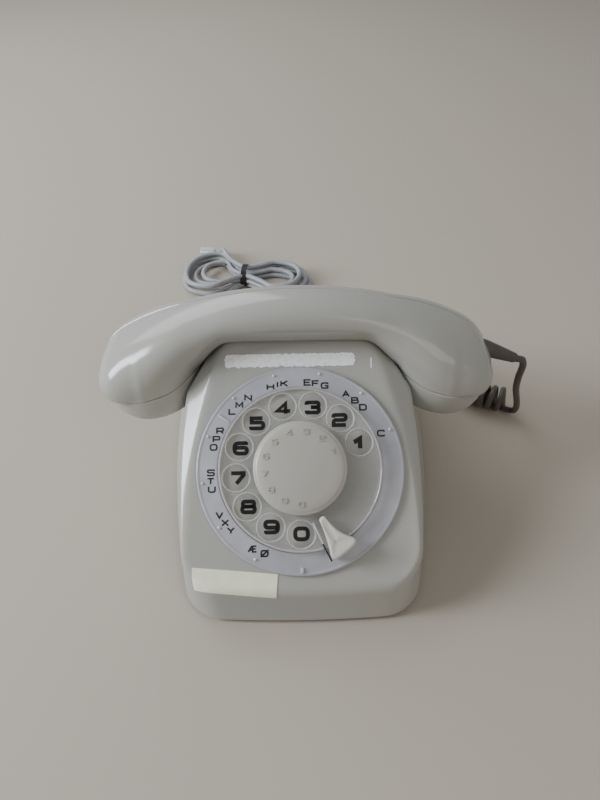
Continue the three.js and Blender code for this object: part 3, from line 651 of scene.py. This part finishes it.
bm = bmesh.new()
bmesh.ops.create_cube(bm, size=2)
bmesh.ops.subdivide_edges(bm, edges=bm.edges, cuts=77, use_grid_fill=True)
directions = np.array([v.co for v in bm.verts], float)
directions = np.tan(directions * math.pi / 4 * 0.9)
directions = directions / np.linalg.norm(directions, axis=1)[:, None] * np.array([80, 100, 52])
directions /= np.linalg.norm(directions, axis=1)[:, None]
heart = np.array([0, 8.0, 38.0])
reach_out = np.zeros(len(directions))
found = np.zeros(len(directions), bool)
STRIDE = 3.0
for distance in np.arange(4, 160, STRIDE):
    outside = case_field(heart + directions * distance) > 0
    reach_out = np.where(outside & ~found, distance, reach_out)
    found |= outside
reach_in = reach_out - STRIDE
for _ in range(22):
    middle = (reach_in + reach_out) / 2
    outside = case_field(heart + directions * middle[:, None]) > 0
    reach_out = np.where(outside, middle, reach_out)
    reach_in = np.where(outside, reach_in, middle)
for vert, place in zip(bm.verts, heart + directions * reach_out[:, None]):
    vert.co = place
bmesh.ops.bisect_plane(bm, geom=bm.verts[:] + bm.edges[:] + bm.faces[:], plane_co=(0, 0, TABLE_GAP),
                       plane_no=(0, 0, 1), clear_inner=True)
face_outwards(bm)
if sum(f.normal.dot(f.calc_center_median() - Vector(heart)) for f in bm.faces) < 0:
    bmesh.ops.reverse_faces(bm, faces=bm.faces)
dial_place = Matrix.Translation(Vector(dial_centre)) @ Matrix.Rotation(FACE_SLOPE, 4, "X")
openings = bmesh.new()
rod(openings, dial_place, 43.8, 24, 128)
for x in (-30, 30):
    rod(openings, Matrix.Translation((x, BAR_Y, 96)), 3.5, 24, 32)
for x, z in ((46, 12), (-42, 11)):
    rod(openings, Matrix.Translation((x, 98, z)) @ Matrix.Rotation(math.pi / 2, 4, "X"), 5.2, 30, 32)
bm = pierced(bm, openings, 2.6)
shell_of("case_moulding", bm, abs_grey, "case", ["case_shell"], 32)

# ---- The dial's letter ring: a translucent polycarbonate ring a little proud of the case, with a
# rounded lip. Small pegs on it mark the holes, painted paler than the ring as a painted highlight, and the exchange
# letters are printed in black.


def clear_plastic(name, colour, opacity, roughness, grain_mm):
    """Clear or frosted polycarbonate with fine scratches; opacity is how much of it is seen as a surface."""
    material, tree, shader = new_material(name, {"Base Color": linear(colour), "IOR": 1.58})
    place = {"Vector": (add_node(tree, "ShaderNodeTexCoord"), "Object")}
    stretched = add_node(tree, "ShaderNodeMapping", {"Scale": (1, 6, 1), "Rotation": (0.3, 0.2, 0.6)}, place)
    hair = add_node(tree, "ShaderNodeTexNoise", {"Scale": 1 / (grain_mm * MM), "Detail": 4.0, "Roughness": 0.65},
                    {"Vector": (stretched, "Vector")})
    cloud = add_node(tree, "ShaderNodeTexNoise", {"Scale": 1 / (17 * MM), "Detail": 3.0}, place)
    add_node(tree, "ShaderNodeMapRange", {"From Min": 0.3, "From Max": 0.75, "To Min": roughness,
                                          "To Max": roughness + 0.22}, {"Value": (hair, "Fac")}, (shader, "Roughness"))
    add_node(tree, "ShaderNodeMapRange", {"From Min": 0.3, "From Max": 0.7, "To Min": opacity * 0.85,
                                          "To Max": min(1.0, opacity * 1.15)}, {"Value": (cloud, "Fac")},
             (shader, "Alpha"))
    return material


ring_plastic = clear_plastic("polycarbonate_milky_lavender", "#b3b4ba", 0.93, 0.24, 2.4)
ring_profile = [
    (41.0, 0.3), (51.3, 0.3), (51.75, 0.6), (51.85, 1.1), (51.6, 1.75), (51.1, 2.05), (50.5, 2.0), (50.2, 1.85),
    (49.6, 1.9), (44.0, 2.35), (42.0, 2.55), (41.45, 2.62), (41.1, 2.5), (41.0, 2.2),
]
bm = spun(ring_profile, 160, dial_place, closed=True)
shell_of("dial_letter_ring", bm, ring_plastic, "case", ["letter_ring"], 40)

hole_angles = [math.radians(22.5 + 27.5 * k) for k in range(10)]


def around(angle, radius, height=0.0):
    """A place at that angle and radius about the dial's axis."""
    return Matrix.Translation((radius * math.cos(angle), radius * math.sin(angle), height))


bm = bmesh.new()
for a in hole_angles[:-1]:
    bmesh.ops.create_uvsphere(bm, u_segments=14, v_segments=10, radius=0.85,
                              matrix=dial_place @ around(a, 48.9, 1.95))
block(bm, dial_place @ around(hole_angles[-1], 48.9, 1.95), 1.3, 2.6, 1.7)
a = math.radians(146)
block(bm, dial_place @ around(a, 45.9, 2.3) @ Matrix.Rotation(a, 4, "Z"), 6.4, 0.75, 1.5)
rounded(bm, [e for e in bm.edges if e.calc_face_angle(0) > 1.4], 0.12)
# Painted highlight: the pegs and the short bar are the ring's polycarbonate painted paler and fully opaque, so they
# look lit.
peg_plastic_painted_highlight = clear_plastic("polycarbonate_peg_painted_highlight", "#d8d7d3", 1.0, 0.2, 1.5)
shell_of("dial_ring_pegs", bm, peg_plastic_painted_highlight, "case")

STROKES = {
    "0": "0,0r 1,0r 1,1r 0,1r z", "1": ".1,.66 .2,.7 .68,1 .68,0", "2": "0,.74 0,1r 1,1r 1,.5r 0,.5r 0,0 1,0",
    "3": "0,.78 0,1r 1,1r 1,.53r .35,.53; .35,.53 1,.53r 1,0r 0,0r 0,.22", "4": ".7,0 .7,1 0,.27 1.08,.27",
    "5": ".95,1 .05,1 .05,.58 1,.58r 1,0r 0,0r 0,.2", "6": ".95,.82 .95,1r 0,1r 0,0r 1,0r 1,.56r 0,.56",
    "7": "0,1 1,1 1,.82 .42,0", "8": ".05,.53r .95,.53r .95,1r .05,1r z; 0,0r 1,0r 1,.53r 0,.53r z",
    "9": ".05,.18 .05,0r 1,0r 1,1r 0,1r 0,.44r 1,.44", "A": "0,0 .5,1 1,0; .17,.33 .83,.33",
    "B": "0,0 0,1 .9,1r .9,.53r 0,.53; 0,.53 1,.53r 1,0r 0,0 0,.5", "C": "1,.76 1,1r 0,1r 0,0r 1,0r 1,.24",
    "D": "0,0 0,1 1,1r 1,0r z", "E": "1,1 0,1 0,0 1,0; 0,.52 .85,.52", "F": "1,1 0,1 0,0; 0,.52 .85,.52",
    "G": "1,.76 1,1r 0,1r 0,0r 1,0r 1,.45 .55,.45", "H": "0,0 0,1; 1,0 1,1; 0,.52 1,.52", "I": ".5,0 .5,1",
    "K": "0,0 0,1; 1,1 0,.42; .35,.62 1,0", "L": "0,1 0,0 1,0", "M": "0,0 0,1 .5,.3 1,1 1,0",
    "N": "0,0 0,1 1,0 1,1",
    "O": "0,0r 1,0r 1,1r 0,1r z", "P": "0,0 0,1 1,1r 1,.42r 0,.42", "R": "0,0 0,1 1,1r 1,.45r 0,.45; .55,.45 1,0",
    "S": "1,.8 1,1r 0,1r 0,.52r 1,.52r 1,0r 0,0r 0,.2", "T": "0,1 1,1; .5,1 .5,0", "U": "0,1 0,0r 1,0r 1,1",
    "V": "0,1 .5,0 1,1", "X": "0,0 1,1; 0,1 1,0", "Y": "0,1 .5,.45 1,1; .5,.45 .5,0",
    "Æ": "-.15,0 .4,1 1.1,1; .5,1 .5,0 1.1,0; .1,.33 .5,.33; .5,.52 1,.52",
    "Ø": "0,0r 1,0r 1,1r 0,1r z; -.1,-.12 1.1,1.12",
}


def print_glyph(bm, glyph, centre, width, height, weight, level, matrix, thick=0.07):
    """Adds one printed character as thin raised ribbons; level(x, y) is the height of the surface below it."""
    for path in STROKES[glyph].split(";"):
        tokens = path.split()
        closed = tokens[-1] == "z"
        tokens = tokens[:-1] if closed else tokens
        corners = []
        for token in tokens:
            u, v = map(float, token.rstrip("r").split(","))
            corner = Vector(((u - 0.5) * (width - weight), (v - 0.5) * (height - weight)))
            corners.append((corner, "r" in token))
        points = []
        for i, (here, rounded) in enumerate(corners):
            before = corners[i - 1][0]
            after = corners[(i + 1) % len(corners)][0]
            inner = closed or 0 < i < len(corners) - 1
            if not (rounded and inner):
                points.append(here)
                continue
            r = min(0.3 * min(width, height), 0.48 * (before - here).length, 0.48 * (after - here).length)
            start = here + (before - here).normalized() * r
            stop = here + (after - here).normalized() * r
            points += [start * (1 - t) ** 2 + here * 2 * t * (1 - t) + stop * t * t
                       for t in (0, 0.17, 0.34, 0.5, 0.66, 0.83, 1)]
        points = [p for i, p in enumerate(points) if i == 0 or (p - points[i - 1]).length > 1e-4]
        rails = []
        for i, here in enumerate(points):
            following = points[(i + 1) % len(points)]
            back = (here - points[i - 1]).normalized() if i or closed else None
            ahead = (following - here).normalized() if i < len(points) - 1 or closed else None
            back, ahead = back or ahead, ahead or back
            bisector = (back + ahead).normalized()
            normal = Vector((-bisector.y, bisector.x))
            spread = weight / 2 / max(0.5, bisector.dot(ahead))
            rails.append((here + normal * spread, here - normal * spread))
        faces = []
        ends = [[bm.verts.new((centre[0] + p.x, centre[1] + p.y, 0)) for p in pair] for pair in rails]
        for i in range(len(ends) if closed else len(ends) - 1):
            a, b = ends[i], ends[(i + 1) % len(ends)]
            faces.append(bm.faces.new((a[0], b[0], b[1], a[1])))
        grown = bmesh.ops.extrude_face_region(bm, geom=faces, use_keep_orig=True)
        raised = {v for v in grown["geom"] if isinstance(v, bmesh.types.BMVert)}
        for v in raised | {v for pair in ends for v in pair}:
            height_here = level(v.co.x, v.co.y) + (thick if v in raised else 0.0)
            v.co = matrix @ Vector((v.co.x, v.co.y, height_here))


LETTERS = (
    "C 40.6 16.8  A 23.7 37.1  B 28.2 33.7  D 32.1 30.1  E 4.4 43.2  F 8.5 42.6  G 13 41.4  H -14.4 41.4  "
    "I -10.8 42.6  K -7.4 43  L -33.7 29.2  M -30.2 32.4  N -25.7 36.1  R -39.8 19.5  P -41.6 15.3  O -43 11.3  "
    "S -44.3 -1.3  T -44.4 -5.5  U -43.8 -9.4  V -40 -22  X -37.2 -25.7  Y -34.4 -29.5  Æ -23.9 -38.4  Ø -18.1 -40.6"
).split()


def ring_level(x, y):
    r = math.hypot(x, y)
    return 2.62 if r < 42 else 2.56 - (r - 42) * 0.088


bm = bmesh.new()
for glyph, x, y in zip(LETTERS[0::3], map(float, LETTERS[1::3]), map(float, LETTERS[2::3])):
    r = math.hypot(x, y)
    shift = min(1.0, 48.0 / r) if r > 44 else max(1.0, 43.6 / r)
    print_glyph(bm, glyph, (x * shift, y * shift), 4.0, 3.5, 0.8, ring_level, dial_place)
face_outwards(bm)
ink, tree, shader = new_material("printing_ink_black", {"Roughness": 0.45})
place = {"Vector": (add_node(tree, "ShaderNodeTexCoord"), "Object")}
wear = add_node(tree, "ShaderNodeTexNoise", {"Scale": 1 / (1.4 * MM), "Detail": 3.0}, place)
add_node(tree, "ShaderNodeValToRGB", {"tones": ((0.45, "#181817"), (0.75, "#2b2a28"))}, {"Fac": (wear, "Fac")},
         (shader, "Base Color"))
shell_of("dial_letters", bm, ink, "case")

# ---- The number plate: a pale moulded disc that stays still under the clear wheel, with the ten
# numerals printed in bold wide figures where the finger holes stop.
plate_plastic = glossy_abs("abs_pale_plate", "#bfbeba", "#b7b4ab", 0.36, 0.12)
PLATE_TOP = -1.2
HOLE_CIRCLE = 31.8
plate_profile = [
    (6.5, -2.9), (43.4, -2.9), (43.4, -1.35), (43.25, PLATE_TOP), (42.4, PLATE_TOP), (42.2, -1.45), (41.9, -1.45),
    (41.7, PLATE_TOP), (6.6, PLATE_TOP), (6.5, -1.3),
]
bm = spun(plate_profile, 128, dial_place, closed=True)
shell_of("dial_number_plate", bm, plate_plastic, "case", ["number_plate"], 35)
bm = bmesh.new()
for a, glyph in zip(hole_angles, "1234567890"):
    spot = (HOLE_CIRCLE * math.cos(a), HOLE_CIRCLE * math.sin(a))
    width, weight = (7.6, 2.3) if glyph == "1" else (8.2, 2.0)
    print_glyph(bm, glyph, spot, width, 7.2, weight, lambda x, y: PLATE_TOP, dial_place)
face_outwards(bm)
shell_of("dial_numerals", bm, ink, "case")

# ---- The finger wheel: a clear disc with ten holes, each with a raised rolled rim, turning on the
# dial's shaft. Its edge carries a low bead. The rims and the bead are painted paler and more opaque than the disc, as a
# painted highlight.
wheel_plastic = clear_plastic("polycarbonate_clear_scratched", "#b9b8b3", 0.26, 0.08, 2.0)
wheel_profile = [
    (6.6, 3.0), (38.6, 3.0), (39.6, 3.15), (40.0, 3.7), (40.0, 5.2), (39.7, 5.75), (39.2, 5.9), (38.7, 5.75),
    (38.4, 5.4), (36, 5.3), (24.5, 5.3), (6.6, 5.3),
]
finger_holes = bmesh.new()
for a in hole_angles:
    rod(finger_holes, around(a, HOLE_CIRCLE, 4), 6.5, 12, 48)
bm = pierced(spun(wheel_profile, 144, closed=True), finger_holes)
bmesh.ops.transform(bm, matrix=dial_place, verts=bm.verts)
shell_of("dial_finger_wheel", bm, wheel_plastic, "dial", ["finger_wheel"], 35)

# Painted highlight: the rims and the bead are the wheel's clear plastic painted paler and more opaque, so their rolled
# edges look lit.
painted_highlight_rim_plastic = clear_plastic("polycarbonate_clear_painted_highlight", "#e2e0da", 0.42, 0.06, 1.2)
rim_section = [
    (6.4, 3.6), (6.45, 5.6), (6.62, 5.9), (6.9, 5.95), (7.12, 5.7), (7.2, 5.3), (6.9, 5.1), (6.75, 3.6),
]
for k, a in enumerate(hole_angles):
    bm = spun(rim_section, 48, dial_place @ around(a, HOLE_CIRCLE), closed=True)
    shell_of("finger_hole_rim_%d" % ((k + 1) % 10), bm, painted_highlight_rim_plastic, "dial", (), 40)
bead = [
    (39.3, 5.45), (39.35, 5.9), (39.7, 6.15), (40.15, 6.0), (40.45, 5.5), (40.4, 4.6), (40.1, 4.2), (39.8, 4.6),
]
shell_of("finger_wheel_bead", spun(bead, 144, dial_place, closed=True), painted_highlight_rim_plastic, "dial", (), 40)

# ---- The dial's cap: a shallow domed satin disc screwed over the wheel's hub, with a fine raised
# rim and the numerals again in low relief around its edge.
cap_plastic = glossy_abs("abs_satin_warm_grey", "#b3b0a9", "#aeaa9f", 0.34, 0.1)
hub_profile = [
    (0, 10.4), (20.8, 9.6), (21.2, 5.7), (22.7, 5.7), (22.95, 5.95), (22.95, 9.0), (22.75, 9.5), (22.35, 9.85),
    (21.9, 9.95), (21.5, 10.1), (21.2, 10.35), (20.7, 10.6), (17, 11.1), (12, 11.6), (6, 11.95), (0, 12.1),
]
bm = spun(hub_profile, 112, dial_place)
shell_of("dial_hub_cap", bm, cap_plastic, "dial", ["dial_cap"], 40)


def hub_level(x, y):
    return float(np.interp(math.hypot(x, y), [0, 6, 12, 17, 20.7], [12.1, 11.95, 11.6, 11.1, 10.6])) - 0.02


bm = bmesh.new()
for k, glyph in enumerate("1234567890"):
    a = math.radians(25.6 + 27.2 * k)
    print_glyph(bm, glyph, (17.6 * math.cos(a), 17.6 * math.sin(a)), 3.0, 2.9, 0.5, hub_level, dial_place, 0.42)
face_outwards(bm)
shell_of("dial_cap_numerals", bm, cap_plastic, "dial")

# ---- The finger stop: a smooth off-white fin standing on the letter ring, hollowed on its leading
# side, beside a thin bright strip and a raised black bar, the painted shadow of a slot, in the ring.
stop_plastic = glossy_abs("abs_off_white", "#d3d1ca", "#c9c5b9", 0.3, 0.08)
stop_runs = [
    ((8.6, -25.2), (9.2, -22.9), (11.2, -23.4)), ((11.2, -23.4), (16.6, -31.0), (24.2, -33.2)),
    ((24.2, -33.2), (27.2, -34.4), (25.2, -36.8)), ((25.2, -36.8), (21.2, -40.8), (17.2, -43.2)),
    ((17.2, -43.2), (14.4, -44.4), (13.6, -41.2)), ((13.6, -41.2), (11.8, -32.4), (8.6, -25.2)),
]
stop_outline = []
for start, ctrl, end in stop_runs:
    for t in (0, 0.125, 0.25, 0.375, 0.5, 0.625, 0.75, 0.875):
        stop_outline.append(Vector(start) * (1 - t) ** 2 + Vector(ctrl) * 2 * t * (1 - t) + Vector(end) * t * t)
stop_heart = Vector((16.4, -35.0))
# each layer of the fin: how far it is drawn in, and its height above the face
layers = [(0, 6.3), (0, 9.2), (0.25, 10.1), (0.7, 10.6), (1.3, 10.75), (2.4, 10.65), (4.0, 10.4), (6.0, 10.25)]
WHEEL_CLEAR_R = 41.3
sections = []
for inset, height in layers:
    section = []
    for p in stop_outline:
        away = p - stop_heart
        q = stop_heart + away * max(0.05, 1 - inset / away.length)
        stands = height < 6.5 and q.length > WHEEL_CLEAR_R
        section.append((q.x, q.y, 2.9 if stands else height))
    sections.append(section)
bm, _ = lofted(sections)
bmesh.ops.triangulate(bm, faces=[f for f in bm.faces if len(f.verts) > 4])
face_outwards(bm)
bmesh.ops.transform(bm, matrix=dial_place, verts=bm.verts)
shell_of("dial_finger_stop", bm, stop_plastic, "case", ["finger_stop"], 50)



def bar_between(start, stop, width, height):
    """A bmesh bar on the dial between two points."""
    bm = bmesh.new()
    run = Vector(stop) - Vector(start)
    turn = Matrix.Rotation(math.atan2(run.y, run.x), 4, "Z")
    block(bm, dial_place @ Matrix.Translation((Vector(start) + Vector(stop)) / 2) @ turn, run.length, width, height)
    return bm


bm = bar_between((5.6, -26.4, 6.6), (10.2, -36.4, 6.6), 0.7, 0.9)
rounded(bm, bm.edges[:], 0.2)
shell_of("finger_stop_strip", bm, stop_plastic, "case")
# Painted shadow: a raised bar in black ink stands for the shade inside a slot; no slot is cut.
bm = bar_between((10.0, -36.2, 6.5), (14.3, -44.6, 6.5), 0.8, 0.8)
shell_of("finger_stop_slot_painted_shadow", bm, ink, "case")

# ---- The paper label: a cream self-adhesive strip stuck across the lower left of the face, its
# lower edge turned down over the front crease. Beside it are what an older strip left behind.


def on_face(points):
    """Where face coordinates (x, v) meet the case's surface, and the surface's direction there."""
    points = np.asarray(points, float)
    base = face_origin + points[:, 1:] * face_up + points[:, :1] * np.array([1.0, 0, 0])
    low = np.full(len(base), -14.0)
    high = np.full(len(base), 6.0)
    for _ in range(30):
        middle = (low + high) / 2
        outside = case_field(base + middle[:, None] * face_normal) > 0
        high = np.where(outside, middle, high)
        low = np.where(outside, low, middle)
    spots = base + high[:, None] * face_normal
    slope = np.stack([case_field(spots + 0.2 * axis) - case_field(spots - 0.2 * axis) for axis in np.eye(3)], 1)
    return spots, slope / np.linalg.norm(slope, axis=1)[:, None]


def laid_on_face(outline_rows, thick):
    """A thin sheet following the face, from rows of (x, v) points."""
    bm = bmesh.new()
    rows, columns = len(outline_rows), len(outline_rows[0])
    spots, slopes = on_face([point for row in outline_rows for point in row])
    low, high = [
        np.array([bm.verts.new(spot) for spot in spots + slopes * lift], object).reshape(rows, columns)
        for lift in (0.03, 0.03 + thick)
    ]
    for i in range(rows - 1):
        for j in range(columns - 1):
            bm.faces.new((high[i][j], high[i][j + 1], high[i + 1][j + 1], high[i + 1][j]))
            bm.faces.new((low[i][j], low[i + 1][j], low[i + 1][j + 1], low[i][j + 1]))
    edge = [(i, 0) for i in range(rows)] + [(rows - 1, j) for j in range(1, columns)]
    edge += [(i, columns - 1) for i in range(rows - 2, -1, -1)] + [(0, j) for j in range(columns - 2, 0, -1)]
    for (i, j), (m, n) in zip(edge, edge[1:] + edge[:1]):
        bm.faces.new((low[i][j], low[m][n], high[m][n], high[i][j]))
    face_outwards(bm)
    return bm


rows = []
for i in range(15):
    t = i / 14
    start = Vector((-53.3, -0.4)).lerp(Vector((-53.5, 10.7)), t)
    end = Vector((-12.8, -4.5)).lerp(Vector((-11.8, 6.9)), t)
    rows.append([tuple(start.lerp(end, j / 28)) for j in range(29)])
label_paper, tree, shader = new_material("paper_label_cream", {"Roughness": 0.55})
place = {"Vector": (add_node(tree, "ShaderNodeTexCoord"), "Object")}
fibre = add_node(tree, "ShaderNodeTexNoise", {"Scale": 1 / (6 * MM), "Detail": 6.0, "Roughness": 0.7}, place)
add_node(tree, "ShaderNodeValToRGB", {"tones": ((0.3, "#eff1cf"), (0.6, "#fafbdf"))}, {"Fac": (fibre, "Fac")},
         (shader, "Base Color"))
shell_of("paper_label", laid_on_face(rows, 0.22), label_paper, "case", ["label"], 50)

residue, tree, shader = new_material("adhesive_residue_white", {"Roughness": 0.8})
place = {"Vector": (add_node(tree, "ShaderNodeTexCoord"), "Object")}
crust = add_node(tree, "ShaderNodeTexNoise", {"Scale": 1 / (2.2 * MM), "Detail": 6.0, "Roughness": 0.7}, place)
add_node(tree, "ShaderNodeValToRGB", {"tones": ((0.32, "#dcdddd"), (0.5, "#fafbfc"))}, {"Fac": (crust, "Fac")},
         (shader, "Base Color"))
add_node(tree, "ShaderNodeBump", {"Strength": 0.5, "Distance": 0.1 * MM}, {"Height": (crust, "Fac")},
         (shader, "Normal"))
RESIDUE_START, RESIDUE_END, RESIDUE_STEPS = -38, 29, 135
rows = []
for i in range(7):
    row = []
    for j in range(RESIDUE_STEPS + 1):
        x = RESIDUE_START + (RESIDUE_END - RESIDUE_START) * j / RESIDUE_STEPS
        end_cut = min(1.0, (x - RESIDUE_START + 0.05) / 1.2, (RESIDUE_END + 0.05 - x) / 1.2)
        rag = noise.noise(Vector((x * 0.55, 3.1, 0))) + 0.6 * noise.noise(Vector((x * 1.7, 8.4, 0)))
        rag_low = noise.noise(Vector((x * 0.5, 5.7, 2))) + 0.6 * noise.noise(Vector((x * 1.5, 1.9, 5)))
        high_v = 113.2 + 3.4 * end_cut ** 0.3 + 0.5 * rag
        low_v = 113.0 - 3.2 * end_cut ** 0.3 - 0.8 * rag_low
        torn = 0.8 * noise.noise(Vector((i * 0.9, 2.2, 7))) if j in (0, RESIDUE_STEPS) else 0
        row.append((x + torn, low_v + (high_v - low_v) * i / 6))
    rows.append(row)
shell_of("old_label_residue", laid_on_face(rows, 0.1), residue, "case", (), 60)
rows = [[(37.1 + 0.6 * j + 0.25 * noise.noise(Vector((i * 0.7, j, 1))), 108.3 + 0.79 * i) for j in range(2)]
        for i in range(8)]
shell_of("old_label_tick", laid_on_face(rows, 0.1), residue, "case", (), 60)

# ---- Inside and underneath: the steel base plate on four rubber feet, the dial's mechanism, the
# switch the handset works, the bell, and the circuit parts, each in its own metal or plastic.


def plated_metal(name, colour, darker, roughness, brushed_mm):
    """Plated or drawn metal: a slightly uneven tone and fine brushing along the part."""
    material, tree, shader = new_material(name, {"Metallic": 1.0})
    place = {"Vector": (add_node(tree, "ShaderNodeTexCoord"), "Object")}
    stretched = add_node(tree, "ShaderNodeMapping", {"Scale": (0.12, 1, 1)}, place)
    brushing = add_node(tree, "ShaderNodeTexNoise", {"Scale": 1 / (brushed_mm * MM), "Detail": 3.0, "Roughness": 0.6},
                        {"Vector": (stretched, "Vector")})
    tarnish = add_node(tree, "ShaderNodeTexNoise", {"Scale": 1 / (12 * MM), "Detail": 3.0}, place)
    add_node(tree, "ShaderNodeValToRGB", {"tones": ((0.4, colour), (0.72, darker))}, {"Fac": (tarnish, "Fac")},
             (shader, "Base Color"))
    add_node(tree, "ShaderNodeMapRange", {"From Min": 0.3, "From Max": 0.7, "To Min": roughness - 0.06,
                                          "To Max": roughness + 0.12}, {"Value": (brushing, "Fac")},
             (shader, "Roughness"))
    add_node(tree, "ShaderNodeBump", {"Strength": 0.25, "Distance": 0.02 * MM}, {"Height": (brushing, "Fac")},
             (shader, "Normal"))
    return material


zinc_steel = plated_metal("steel_zinc_plated", "#a9acad", "#8f908d", 0.34, 0.5)
turned_brass = plated_metal("brass_tarnished", "#b3924f", "#8f7440", 0.3, 0.4)
satin_trim = glossy_abs("abs_satin_trim", "#b2afa8", "#aaa698", 0.38, 0.1)
black_rubber = sheath("rubber_black", "#232221", "#302f2d", 0.7, 0.8, 0.4)
copper_winding = sheath("lacquered_copper_winding", "#8a4c2b", "#a86a3c", 0.35, 0.25, 0.5)
phenolic_board = sheath("phenolic_board_tan", "#7c5c33", "#90703f", 0.5, 0.6, 0.2)
black_phenolic = sheath("phenolic_black", "#1d1c1c", "#2a2928", 0.4, 0.7, 0.15)
finish_nodes(zinc_steel, """
    base_plate case_screw_front_left case_screw_front_right case_screw_rear_left case_screw_rear_right dial_frame
    wheel_screw dial_shaft return_spring governor_spindle governor_drum hook_bracket gong_left gong_right
    gong_post_left gong_post_right ringer_yoke clapper ear_capsule mouth_capsule
""")
finish_nodes(turned_brass, "dial_bush main_gear pulse_contacts governor_pinion governor_weights hook_contacts")
finish_nodes(black_rubber, "foot_front_left foot_front_right foot_rear_left foot_rear_right")
finish_nodes(satin_trim, "hook_plunger_left hook_plunger_right terminal_block")
finish_nodes(copper_winding, "ringer_coil_left ringer_coil_right induction_coil")
finish_nodes(phenolic_board, "circuit_board")
finish_nodes(black_phenolic, "pulse_wheel hook_crossbar line_capacitor")
